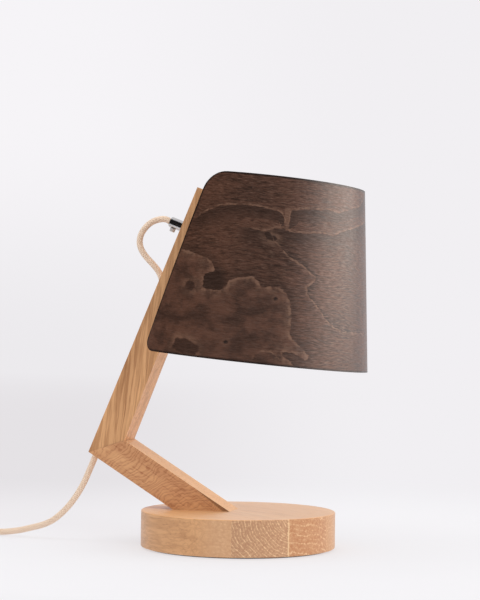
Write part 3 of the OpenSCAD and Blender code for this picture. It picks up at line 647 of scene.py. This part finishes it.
def textile():
    """A woven cord jacket: two sets of yarns that cross over and under, with painted shade between them, from
    the tube's map.
    """
    g = Graph("textile")
    place = g.xyz(g.coords("UV"))
    around = g.times(place["X"], YARNS)
    along = g.math("DIVIDE", place["Y"], YARN_LAY)
    sets = [g.math("ADD", around, along), g.math("SUBTRACT", around, along)]
    cells = g.math("ADD", *(g.math("FLOOR", value) for value in sets))
    over = g.math("FLOORED_MODULO", cells, 2.0)
    crowns = [g.math("SINE", g.times(g.math("FRACT", value), math.pi)) for value in sets]
    crown = g.add("ShaderNodeMix", {0: over, 2: crowns[0], 3: crowns[1]}).outputs[0]
    fuzz = g.noise(g.coords(), 2600, detail=3)
    mottle = g.noise(g.coords(), 620)
    # Painted shade: the yarns darken from their crowns down into the valleys between them
    colour = g.mix(g.span(crown, 0.15, 0.8), JACKET_VALLEY_SHADE, JACKET_HIGH)
    colour = g.mix(g.span(mottle, 0.52, 0.66, 0, 0.45), colour, JACKET_MOTTLE)
    colour = g.mix(g.span(fuzz, 0.55, 0.75, 0, 0.3), colour, JACKET_FUZZ)
    height = g.linear(fuzz, 0.3, crown)
    return g.finish(Base_Color=colour, Roughness=0.88, Sheen_Weight=0.25, Sheen_Roughness=0.4,
                    Normal=g.bump(height, 0.0004, 0.7))


def plastic(name, colour, roughness):
    """A moulded plastic with a faint grain and slightly uneven gloss."""
    g = Graph(name)
    grain = g.noise(g.coords(), 2200)
    cloud = g.noise(g.coords(), 60, detail=3)
    tone = g.mix(g.span(cloud, 0.35, 0.65), rgb(*colour), scaled(rgb(*colour), 0.94))
    rough = g.span(cloud, 0.3, 0.7, roughness - 0.05, roughness + 0.07)
    return g.finish(Base_Color=tone, Roughness=rough, Normal=g.bump(grain, 0.00003, 0.3))


def metal(name, colour, roughness, metallic=1.0):
    """A metal with fine tool marks and slightly uneven polish."""
    g = Graph(name)
    marks = g.noise(g.coords(), (900, 180, 900), detail=3)
    cloud = g.noise(g.coords(), 90)
    tone = g.mix(g.span(cloud, 0.35, 0.7), rgb(*colour), scaled(rgb(*colour), 0.86))
    rough = g.span(marks, 0.35, 0.65, roughness * 0.75, roughness * 1.3)
    return g.finish(Base_Color=tone, Metallic=metallic, Roughness=rough, Normal=g.bump(marks, 0.00001, 0.2))


def felt(name, colour):
    """Pressed fibres: mottled, rough and faintly lit along the edges."""
    g = Graph(name)
    fibre = g.noise(g.coords(), 1800, detail=5, roughness=0.7, distortion=1.2)
    cloud = g.noise(g.coords(), 120, detail=3)
    fuzz = g.span(g.linear(cloud, 0.4, fibre), 0.5, 0.95)
    tone = g.mix(fuzz, rgb(*colour), scaled(rgb(*colour), 1.9))
    return g.finish(Base_Color=tone, Roughness=0.95, Sheen_Weight=0.3, Normal=g.bump(fibre, 0.0003, 0.8))


def opal_glass():
    """White opal glass: a milky body under a smooth clear surface."""
    g = Graph("opal_glass")
    cloud = g.noise(g.coords(), 40)
    tone = g.mix(g.span(cloud, 0.3, 0.7), OPAL_HIGH, OPAL_LOW)
    return g.finish(Base_Color=tone, Roughness=0.12, Subsurface_Weight=0.3, Subsurface_Radius=(1, 1, 1),
                    Subsurface_Scale=0.004, Coat_Weight=0.4, Coat_Roughness=0.05)


def lining():
    """The pale lining film inside the shade."""
    g = Graph("lining")
    grain = g.noise(g.coords(), 700, detail=3)
    cloud = g.noise(g.coords(), 25)
    tone = g.mix(g.span(cloud, 0.3, 0.7), LINING_HIGH, LINING_LOW)
    return g.finish(Base_Color=tone, Roughness=0.6, Normal=g.bump(grain, 0.00005, 0.3))


# World, floor and lamps, in metres
BACKGROUND = rgb(241, 239, 242)
BACKDROP_HIGH = rgb(246, 244, 247)
# Painted shadow: BACKDROP_SHADOW_TONE darkens the backdrop and far floor on the left, standing in for the
# lamp's soft shadow
BACKDROP_SHADOW_TONE = rgb(236, 234, 237)
BACKDROP_RISE = (-0.01, 0.13)
LEFT_SIDE = (-0.16, -0.36)
STUDIO_LEVEL, STUDIO_SLOPE, STUDIO_RISE = 0.86, 0.32, 0.15
FLOOR_TONE = rgb(239, 238, 241)
# Painted shadow: the floor's darker tone on the left, standing in for the lamp's soft shadow
FLOOR_SHADOW_TONE = rgb(229, 226, 229)
FLOOR_FADE = (0.3, 0.9)
FLOOR_GLOW = 0.65
FLOOR_HALF = 15.0
FLOOR_DROP = 0.0003
SHADOW_SPREAD, SHADOW_START, SHADOW_BAND, SHADOW_FAR = 0.5, 0.15, (-0.2, 0.65), (2, 10)
DARK_WALLS = [(-3.0, 2.5), (-3.0, -2.4), (3.4, -2.4)]
WALL_TOP = 6.0
DARK_FLOOR_FROM, DARK_FLOOR_LIFT = -0.36, 0.001
LIGHT_TARGET = Vector((0, 0, 0.18))
WARM, WHITE = (1.0, 0.91, 0.82), (1, 1, 1)
# Each lamp: its place, size, power and colour, and the kind of ray that doesn't meet it
LAMPS = {"window": ((1.68, 0.42, 0.8), (1.85, 1.0), 21.5, WARM, "visible_diffuse"),
         "key": ((1.7, 0.35, 0.9), (1.6, 0.9), 9, WARM, "visible_glossy"),
         "top": ((-0.5, -0.35, 1.9), (1.4, 1.4), 10, WHITE, "visible_glossy")}


def make_world():
    """A pale studio: seen and mirrored as its backdrop, with a painted shadow on its left, and a plain fill
    for everything else.
    """
    g = Graph("studio", world=True)
    bpy.context.scene.world = g.owner
    place = g.xyz(g.coords("Generated"))
    # Painted shadow: to the left the backdrop darkens towards and below the horizon, and turns lighter above
    # it
    shadow_zone = g.span(place["X"], *LEFT_SIDE)
    height = g.span(place["Z"], *BACKDROP_RISE)
    backdrop = g.mix(shadow_zone, BACKGROUND, g.mix(height, BACKDROP_SHADOW_TONE, BACKDROP_HIGH))
    rays = g.add("ShaderNodeLightPath", {}).outputs
    seen = g.highest(rays["Is Camera Ray"], rays["Is Glossy Ray"], rays["Is Transmission Ray"])
    fill = g.linear(place["X"], STUDIO_SLOPE, g.linear(place["Z"], STUDIO_RISE, STUDIO_LEVEL))
    g.fill(g.tree.nodes["Background"], {"Color": g.mix(seen, fill, backdrop)})


def make_floor():
    """A pale floor that keeps the lamp's shadow and fades into the background, with a painted shadow far out
    on the left.
    """
    mesh = bpy.data.meshes.new("floor")
    corners = [(-1, -1), (1, -1), (1, 1), (-1, 1)]
    mesh.from_pydata([(x * FLOOR_HALF, y * FLOOR_HALF, -FLOOR_DROP) for x, y in corners], [], [(0, 1, 2, 3)])
    floor = add_object("floor", mesh)
    g = Graph("floor")
    grain = g.noise(g.coords(), 9)
    tone = g.mix(g.span(grain, 0.3, 0.7), FLOOR_TONE, scaled(FLOOR_TONE, 0.99))
    g.finish(Base_Color=tone, Roughness=0.7, Specular_IOR_Level=0.1)
    place = g.xyz(g.coords())
    x, y = place["X"], place["Y"]
    side = g.math("DIVIDE", g.math("SUBTRACT", x, CAMERA_AT.x), g.math("SUBTRACT", y, CAMERA_AT.y))
    spread = g.linear(g.math("ABSOLUTE", x), SHADOW_SPREAD, SHADOW_START)
    # Painted shadow: a darker tone on the floor to the left, further out, standing in for the lamp's soft
    # shadow
    shadow_zone = g.times(g.span(side, *LEFT_SIDE), g.span(g.math("DIVIDE", y, spread), *SHADOW_BAND))
    distance = g.length(x, y)
    painted_shadow = g.mix(g.span(y, *SHADOW_FAR), FLOOR_SHADOW_TONE, BACKDROP_SHADOW_TONE)
    pale = g.mix(shadow_zone, g.mix(g.span(distance, *FLOOR_FADE), FLOOR_TONE, BACKGROUND), painted_shadow)
    far = g.add("ShaderNodeEmission", {"Color": pale, "Strength": 1.0})
    fade = g.span(distance, *FLOOR_FADE, FLOOR_GLOW, 1.0)
    g.surface(g.add("ShaderNodeMixShader", {0: fade, 1: g.shader.outputs[0], 2: far.outputs[0]}))
    mesh.materials.append(g.owner)


def make_dark_room():
    """The dark room on the camera's side, which only shows in glossy surfaces."""
    low = [(x, y, DARK_FLOOR_LIFT) for x, y in DARK_WALLS]
    high = [(x, y, WALL_TOP) for x, y in DARK_WALLS]
    near = [(x, DARK_FLOOR_FROM, DARK_FLOOR_LIFT) for x, y in DARK_WALLS[1:]]
    mesh = bpy.data.meshes.new("dark_room")
    mesh.from_pydata(low + high + near, [], [(0, 1, 4, 3), (1, 2, 5, 4), (1, 6, 7, 2)])
    room = add_object("dark_room", mesh)
    g = Graph("dark_room")
    g.surface(g.add("ShaderNodeEmission", {"Color": (0, 0, 0, 1), "Strength": 0.0}))
    mesh.materials.append(g.owner)
    room.visible_camera = room.visible_diffuse = room.visible_shadow = room.visible_transmission = False


def make_lights():
    """A warm key from the right, a window beside it that only shows as sheen, and a soft lamp above.
    Gives back the window."""
    lamps = {}
    for name, (at, size, power, colour, hidden) in LAMPS.items():
        data = bpy.data.lights.new(name, "AREA")
        data.shape = "RECTANGLE"
        data.size, data.size_y = size
        data.energy, data.color = power, colour
        lamp = lamps[name] = add_object(name, data)
        lamp.location = at
        lamp.rotation_euler = (LIGHT_TARGET - Vector(at)).to_track_quat("-Z", "Y").to_euler()
        setattr(lamp, hidden, False)
    return lamps["window"]


def keep_off(lamp, pieces):
    """Keeps a lamp's light off some pieces."""
    group = bpy.data.collections.new(f"off_{lamp.name}")
    for piece in pieces:
        group.objects.link(piece)
    for item in group.collection_objects:
        item.light_linking.link_state = "EXCLUDE"
    lamp.light_linking.receiver_collection = group


# The shade's cone, in millimetres along the arm's front face and away from it
SHADE_TILT = math.radians(16)
SHADE_LOW = np.array((-95.5, 86.0))
SHADE_N = 0.65
SHADE_H = 175.0
SHADE_R_LOW, SHADE_R_HIGH = 114.0, 93.0
SHADE_SLOPE = (SHADE_R_LOW - SHADE_R_HIGH) / SHADE_H
SHADE_WALL = 1.5
ROUND_LOW, ROUND_HIGH = 9.0, 25.0
RIM_DIR = np.array((math.sin(SHADE_TILT), math.cos(SHADE_TILT)))
AXIS_DIR = np.array((math.cos(SHADE_TILT), -math.sin(SHADE_TILT)))
CORNER_ROWS, WALL_ROWS, SHADE_COLUMNS = 12, 90, 240
MEAN_R = (SHADE_R_LOW + SHADE_R_HIGH) / 2
FOLD_ARC = math.radians(-14) * MEAN_R


def to_world(un):
    return np.array(FRONT_UP) * un[0] + np.array(FRONT_NORMAL) * un[1]


SHADE_FOOT = np.array(PIVOT) / MM + to_world(SHADE_LOW)
SHADE_AXIS = to_world(AXIS_DIR)
SHADE_FRONT = to_world(RIM_DIR)
SHADE_SIDE = np.array((0.0, -1.0, 0.0))


def shade_radius(h):
    return SHADE_R_LOW - SHADE_SLOPE * h


def corner_middle(h_rim, sign, r):
    """The middle of a corner's rounding, from the low rim's middle."""
    rim = SHADE_LOW + AXIS_DIR * h_rim
    corner = rim + RIM_DIR * (SHADE_N - rim[1]) / RIM_DIR[1]
    trim = r / math.tan((math.pi / 2 - sign * SHADE_TILT) / 2)
    return np.array((corner[0] + sign * trim, SHADE_N + r)) - SHADE_LOW


def back_reach(h):
    """Where the shade's back edge lies at height h, from the axis towards the front; behind is negative."""
    for h_rim, sign, r in ((0.0, 1, ROUND_LOW), (SHADE_H, -1, ROUND_HIGH)):
        middle = corner_middle(h_rim, sign, r)
        tangent = (middle - np.array((0, r))) @ AXIS_DIR
        if (h - tangent) * sign < 0:
            off = middle @ AXIS_DIR - h
            return middle @ RIM_DIR - math.sqrt(max(r * r - off * off, 0))
    return (SHADE_N - SHADE_LOW[1] - AXIS_DIR[1] * h) / RIM_DIR[1]


def shade_heights():
    """Heights of the shade's rows, closer together where the corners are round."""
    ease = 1 - np.cos(np.linspace(0, math.pi / 2, CORNER_ROWS, endpoint=False))
    middle = np.linspace(ROUND_LOW, SHADE_H - ROUND_HIGH, WALL_ROWS)
    return np.concatenate([ROUND_LOW * ease, middle, (SHADE_H - ROUND_HIGH * ease)[::-1]])


def shade_grid(inset):
    """Points of the wall's outer face, or of its inner one, and how far each is from the wall's edge."""
    rows, from_edge = [], []
    for h in shade_heights():
        r = shade_radius(h) - inset
        edge = math.acos(back_reach(h) / r)
        angle = np.linspace(-edge, edge, SHADE_COLUMNS)[:, None]
        outwards = np.cos(angle) * SHADE_FRONT + np.sin(angle) * SHADE_SIDE
        rows.append(SHADE_FOOT + SHADE_AXIS * h + r * outwards)
        from_edge.append(np.minimum((edge - np.abs(angle[:, 0])) * r, min(h, SHADE_H - h)))
    return np.array(rows), np.array(from_edge)


def shade_places(points):
    """Arc length and height of points on the shade, in millimetres."""
    from_foot = points - SHADE_FOOT
    arc = np.arctan2(from_foot @ SHADE_SIDE, from_foot @ SHADE_FRONT) * MEAN_R
    return np.stack([arc, from_foot @ SHADE_AXIS], axis=-1)


def seen_on_shade(pixels):
    """Arc length and height on the shade of places in the photograph."""
    right, up, forward = (np.array(v) for v in camera_axes())
    start = np.array(CAMERA_AT) / MM - SHADE_FOOT
    along = start @ SHADE_AXIS
    start_flat, r = start - along * SHADE_AXIS, shade_radius(along)
    hits = []
    for px, py in pixels:
        off_x, off_y = px - PHOTO_SIZE[0] / 2, py - PHOTO_SIZE[1] / 2
        ray = forward + right * off_x / FOCAL_PX - up * off_y / FOCAL_PX
        climb = ray @ SHADE_AXIS
        ray_flat = ray - climb * SHADE_AXIS
        a = ray_flat @ ray_flat - (SHADE_SLOPE * climb) ** 2
        b = start_flat @ ray_flat + r * SHADE_SLOPE * climb
        c = start_flat @ start_flat - r * r
        hits.append(SHADE_FOOT + start + (-b - math.sqrt(max(b * b - a * c, 0))) / a * ray)
    return shade_places(np.array(hits))


# The veneer's figure: outlines traced in the photograph, in its pixels
ARCH_LEDGE = [(200, 215), (206.7, 210.8), (215, 207.5), (221.7, 205), (233, 204.7), (246.7, 204.7),
              (256.7, 205.8), (266.7, 208.3), (278, 210.8), (283, 214.2), (284.5, 220), (284.5, 226)]
RIGHT_LEDGE = [(289, 226), (290, 219), (291, 210.5), (303, 209), (316.7, 209.7), (328, 210), (339, 213),
               (350, 209.3), (360, 206.7), (364, 197)]
LOW_LEDGE = [(252, 228.6), (265, 231.2), (274, 228.4), (283, 228), (290, 231.7), (306.7, 233.7), (323, 233),
             (333, 236), (341.7, 231.7), (356.7, 227.5), (364, 223)]
SLANT_LEDGE = [(275, 240), (281.7, 248), (290, 256.7), (300, 263), (306.7, 268), (316.7, 278), (315, 282),
               (306.7, 288), (308, 295), (316.7, 305), (325, 318), (335, 327.5), (343, 331.7), (363, 332.5)]
POST = [(284.8, 208), (291, 208), (290.3, 214), (288.4, 221), (287.4, 230), (285.6, 230), (285.2, 219)]
PATCH_EDGE = [(183, 249), (195, 253), (206.7, 257.5), (211.7, 261.7), (215, 269), (211.7, 271.7), (204, 274),
              (203, 280), (202.5, 287.5), (210, 290), (220, 290), (226.7, 285.8), (229, 280), (235, 278),
              (243, 277), (253, 276.7), (258, 281.7), (263, 287.5), (271.7, 286.7), (280, 287.5),
              (286.7, 294), (290.8, 305), (290.8, 315), (290, 331.7), (290, 336.7), (300, 346.7), (310, 358),
              (305, 360), (293, 353), (283, 351.7), (281.7, 355), (295, 366.7)]
BAY_MIDDLE = (212, 281.5)
DARK_SPOT = [(174, 341.7), (175.8, 338), (185, 339), (196.7, 345), (199, 349), (195, 354), (181.7, 353),
             (171.7, 347.5)]
ROUND_SPOT = [(185, 285), (188, 281), (193, 281.5), (195, 286), (192, 290.5), (187, 290)]
SMEAR_SPOT = [(264.5, 233), (268, 232), (272, 235), (277, 239), (273, 240.5), (267.5, 238.5)]
EYE_LINE = [(276, 357), (270, 352.8), (263, 351.9), (257, 353.6), (254, 357.4)]
KNOTS = [(225.6, 342), (275.6, 298.7)]

# In millimetres on the shade: how far round the patch goes, and how far below the rim
FAR_ARC, BELOW_RIM = 320.0, -40.0
KNOT_STRETCH = 1.2
LEVEL_RISE = 1e-9


def segment_distance(places, a, b):
    """Distance of places from a stretch a to b, and the side of it that they lie on."""
    run = b - a
    offset = places - a
    t = np.clip(offset @ run / (run @ run), 0, 1)
    apart = np.hypot(*(offset - t[:, None] * run).T)
    return apart, np.sign(run[0] * offset[:, 1] - run[1] * offset[:, 0])


def line_distance(places, line):
    """Signed distance from an open line: positive on its right-hand side in the photograph."""
    best = np.full(len(places), np.inf)
    side = np.ones(len(places))
    for a, b in zip(line, line[1:]):
        apart, turn = segment_distance(places, a, b)
        closer = apart < best
        best[closer], side[closer] = apart[closer], turn[closer]
    return best * side


def nearest_line(places, lines):
    """Signed distance from the nearest of several lines seen in the photograph."""
    distances = [line_distance(places, seen_on_shade(line)) for line in lines]
    return np.choose(np.argmin(np.abs(distances), axis=0), distances)


def area_distance(places, outline):
    """Distance from a closed outline: negative inside."""
    best = np.full(len(places), np.inf)
    inside = np.zeros(len(places), bool)
    for a, b in zip(outline, np.roll(outline, -1, axis=0)):
        best = np.minimum(best, segment_distance(places, a, b)[0])
        crosses = (a[1] > places[:, 1]) != (b[1] > places[:, 1])
        rise = b[1] - a[1] or LEVEL_RISE
        reach = a[0] + (places[:, 1] - a[1]) * (b[0] - a[0]) / rise
        inside ^= crosses & (places[:, 0] < reach)
    return np.where(inside, -best, best)


def figure_fields(places):
    """The figure's distances at places on the shade: its patch and bay, spots, post, ledges and knots."""
    edge = seen_on_shade(PATCH_EDGE)
    closing = [(edge[-1][0], BELOW_RIM), (FAR_ARC, BELOW_RIM), (FAR_ARC, edge[0][1])]
    spots = [area_distance(places, seen_on_shade(line)) for line in (DARK_SPOT, ROUND_SPOT, SMEAR_SPOT)]
    offsets = places[None] - seen_on_shade(KNOTS)[:, None]
    return {
        "patch": area_distance(places, np.vstack([edge, closing])),
        "spot": np.min(spots, axis=0),
        "post": area_distance(places, seen_on_shade(POST)),
        "ledge": nearest_line(places, (ARCH_LEDGE, RIGHT_LEDGE, LOW_LEDGE)),
        "crack": nearest_line(places, (SLANT_LEDGE, EYE_LINE)),
        "knot": np.hypot(offsets[..., 0] / KNOT_STRETCH, offsets[..., 1]).min(axis=0),
        "bay": np.hypot(*(places - seen_on_shade([BAY_MIDDLE])[0]).T),
    }


def shell_faces(rows, columns):
    """Faces of the outer grid, of the inner one after it, and of the edge that joins the two."""
    count = rows * columns
    grid = grid_faces(rows, columns, False)
    rim = list(range(columns)) + [i * columns + columns - 1 for i in range(1, rows)]
    rim += [(rows - 1) * columns + k for k in range(columns - 2, -1, -1)]
    rim += [i * columns for i in range(rows - 2, 0, -1)]
    return ([tuple(reversed(f)) for f in grid] + [tuple(i + count for i in f) for f in grid]
            + [(a, b, b + count, a + count) for a, b in zip(rim, rim[1:] + rim[:1])])


def make_shade(outside, inside):
    """The bent wall: veneer outside and along its edges, lined inside, with the figure's fields on it."""
    (outer, outer_edge), (inner, inner_edge) = shade_grid(0.0), shade_grid(SHADE_WALL)
    rows, columns = outer.shape[:2]
    count = rows * columns
    points = np.concatenate([outer.reshape(-1, 3), inner.reshape(-1, 3)]) * MM
    mesh = bpy.data.meshes.new("shade_shell")
    mesh.from_pydata(points.tolist(), [], shell_faces(rows, columns))
    bm = bmesh.new()
    bm.from_mesh(mesh)
    bmesh.ops.recalc_face_normals(bm, faces=bm.faces)
    bm.to_mesh(mesh)
    bm.free()
    places = shade_places(points / MM)
    places[:, 0] = np.abs(places[:, 0] - FOLD_ARC) + FOLD_ARC
    fields = figure_fields(places)
    fields["edge"] = np.concatenate([outer_edge.ravel(), inner_edge.ravel()])
    for name, values in fields.items():
        mesh.attributes.new(name, "FLOAT", "POINT").data.foreach_set("value", values.astype(np.float32))
    corners = np.empty(len(mesh.loops), int)
    mesh.loops.foreach_get("vertex_index", corners)
    layer = mesh.uv_layers.new(name="map")
    layer.data.foreach_set("uv", places[corners].astype(np.float32).ravel())
    mesh.materials.append(outside)
    mesh.materials.append(inside)
    for face in mesh.polygons:
        if all(i >= count for i in face.vertices):
            face.material_index = 1
    smooth_faces(mesh, SHADE_CREASE)
    return add_object("shade_shell", mesh)


# Pieces, with the widths of their rounded edges in millimetres
STAVE_EDGE, ARM_EDGE, BOARD_EDGE = 0.12, 0.45, 0.4
# Each stave: its pith line's place across and up, its rings' strength, its ends' colour, its rings' spacing
STAVES = {1: (-70, -170, 0.2, (204, 154, 112), 5.6), 2: (2, 43, 0.9, END_BODY, 4.8),
          3: (5, -80, 0.6, (186, 125, 80), 9.0), 4: (75, -150, 0.4, (194, 138, 90), 5.6)}
GLUED_STAVES = (2, 3)
STAVE_SHIFT = 300
GLUE_STRENGTH, MITRE_STRENGTH = 0.75, 0.15
UPPER_GRAIN = math.radians(84)
UPPER_HEART, LOWER_HEART = Vector((-230, 60, 240)), Vector((-60, 90, -120))
LOWER_DARK = rgb(160, 94, 56)
LOWER_FIGURE_TURN = math.radians(-66)
SHADOW_WEDGE_LEN, SHADOW_WEDGE_WIDTH = 50, 5.0


def settle(piece, material, slot, *replaced, body="lamp"):
    """Gives a piece its material and body, and hides the nodes that it stands for; slot is not used."""
    if material:
        piece.data.materials.clear()
        piece.data.materials.append(material)
    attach(piece, body)
    if replaced:
        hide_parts(*replaced)
    return piece


def dress(material, *names):
    """Gives the frame's own solids their material."""
    for name in names:
        mesh = nodes[name].data
        mesh.materials.clear()
        mesh.materials.append(material)


def make_base():
    """The base's staves, each with its own grain."""
    base = []
    stave_dir = Vector((math.cos(STAVE_ANGLE), math.sin(STAVE_ANGLE), 0))
    stave_side = UP.cross(stave_dir)
    for number, (across, height, ends, body, ring) in STAVES.items():
        heart = across * stave_side + height * UP + STAVE_SHIFT * number * stave_dir
        seam = (stave_side, GLUE_V, GLUE_LINE, GLUE_STRENGTH) if number in GLUED_STAVES else None
        # Painted shade: side_tone darkens the staves' sides against their tops
        wood = oak(f"oak_stave_{number}", stave_dir, UP, heart, seam, ring=ring, streaks=0.2, depth=-0.12,
                   side_tone=0.38, ends=ends, end_body=body, coat=0.28)
        node = f"base_stave_{number}"
        base.append(settle(softened(f"{node}_soft", node, STAVE_EDGE, 1), wood, "oak", node))
    return base


def make_arms():
    """The two arms, with a faint line in their mitre, painted light on their narrow faces, and a painted
    shadow wedge at the lower one's foot.
    """
    mitre = UP * math.cos(MITRE_ANGLE) - Vector((1, 0, 0)) * math.sin(MITRE_ANGLE)
    seam = (mitre, mitre.dot(ELBOW) / MM, MITRE_AND_SHADOW_DARK, MITRE_STRENGTH)
    # Painted light: the negative side_tone lightens the arms' narrow faces
    upper = oak("oak_upper", in_plane(UPPER_GRAIN), -ACROSS, UPPER_HEART, seam, streaks=0.42, tight=0.13,
                sway=3.5, depth=0.22, side_tone=-0.3)
    corners = [vertex.co / MM for vertex in nodes["lower_arm"].data.vertices]
    foot = max(corner.dot(LOWER_DIR) for corner in corners)
    edge = max(corner.dot(LOWER_DIR.cross(ACROSS)) for corner in corners)
    # Painted shadow: a dark wedge along the lower arm's upper edge at its foot, where it meets the base
    shadow_wedge = (foot - SHADOW_WEDGE_LEN, foot, edge, SHADOW_WEDGE_WIDTH)
    lower = oak("oak_lower", LOWER_DIR, -ACROSS, LOWER_HEART, seam, shadow_wedge, streaks=0.12, run=0.016,
                tight=0.17, sway=5.0, figure_turn=LOWER_FIGURE_TURN, waves=0.3, dark=LOWER_DARK, depth=0.26,
                side_tone=-0.49, ends=0.0)
    settle(softened("upper_arm_soft", "upper_arm", ARM_EDGE), upper, "oak", "upper_arm")
    settle(softened("lower_arm_soft", "lower_arm", ARM_EDGE), lower, "oak", "lower_arm")
    dress(upper, "elbow_dowels")


def make_fittings():
    """The pivot's stack, the holder and the bulb, and the switch and plug on the cord."""
    chrome = metal("chrome", (206, 205, 204), 0.2)
    satin = metal("satin_chrome", (208, 207, 206), 0.5, metallic=0.2)
    steel = metal("steel", (196, 196, 194), 0.28)
    brass = metal("brass", (212, 176, 110), 0.25)
    white = plastic("white_plastic", (234, 230, 220), 0.4)
    cream = plastic("cream_plastic", (224, 206, 182), 0.32)
    tan = plastic("rocker_plastic", (186, 160, 128), 0.3)
    core = plastic("core", (60, 48, 42), 0.45)
    dark_felt = felt("felt", (58, 53, 50))
    tie = felt("tie", (52, 48, 46))
    # Each piece: its name, the node it stands for, its edges' width and steps, its material, slot and body
    soft = [("grip_soft", "grip_body", 0.35, 2, chrome, "chrome", "lamp"),
            ("grip_screw_soft", "grip_screw", 0.25, 2, satin, "chrome", "lamp"),
            ("holder_cap_soft", "holder_cap", 0.8, 3, white, "white_plastic", "lamp"),
            ("holder_skirt_soft", "holder_skirt", 0.6, 3, white, "white_plastic", "lamp"),
            ("lock_nut_soft", "lock_nut", 0.35, 2, steel, "steel", "lamp"),
            ("washer_soft", "pivot_washer", 0.2, 2, steel, "steel", "lamp"),
            ("switch_base_soft", "switch_base", 1.2, 3, cream, "cream_plastic", "lamp"),
            ("switch_cover_soft", "switch_cover", 1.2, 3, cream, "cream_plastic", "lamp"),
            ("rocker_soft", "switch_rocker", 0.5, 2, tan, "cream_plastic", "rocker"),
            ("plug_soft", "plug_body", 1.5, 3, cream, "cream_plastic", "lamp"),
            ("relief_soft", "plug_relief", 0.4, 2, cream, "cream_plastic", "lamp"),
            ("pins_soft", "plug_pins", 0.4, 2, steel, "steel", "lamp")]
    for name, node, width, steps, material, slot, body in soft:
        settle(softened(name, node, width, steps), material, slot, node, body=body)
    settle(make_ties(), tie, "tie", "coil_ties")
    dress(dark_felt, "felt_pad", "fibre_disc")
    dress(steel, "base_screws", "switch_pin", "switch_screws", "bulb_cap")
    dress(brass, "threaded_tube", "screw_shell", "centre_contact")
    dress(white, "terminal_block")
    dress(core, "core_wires", "bulb_tip")
    dress(opal_glass(), "bulb_glass")


def make_cords():
    """The cord in two stretches: from the grip to the switch, and coiled from there to the plug."""
    jacket = textile()
    path, marks = smooth_path(upper_route())
    first = settle(tube("cord_to_switch", path, marks), jacket, "textile",
                   "cord_loop", "cord_in_groove", "cord_lead")
    path, marks = smooth_path(coil_route())
    second = settle(tube("cord_to_plug", path, marks), jacket, "textile", "cord_coil")


def make_shade_pieces():
    """The shade's wall and its back board, which turn together."""
    settle(make_shade(veneer("veneer", True), lining()), None, "veneer", "shade_wall", body="shade")
    settle(softened("shade_back_soft", "shade_back", BOARD_EDGE), veneer("veneer_board", False), "veneer",
           "shade_back", body="shade")


bpy.context.scene.view_settings.view_transform = "Standard"
make_camera()
make_world()
make_floor()
make_dark_room()
keep_off(make_lights(), make_base())
make_arms()
make_fittings()
make_cords()
make_shade_pieces()
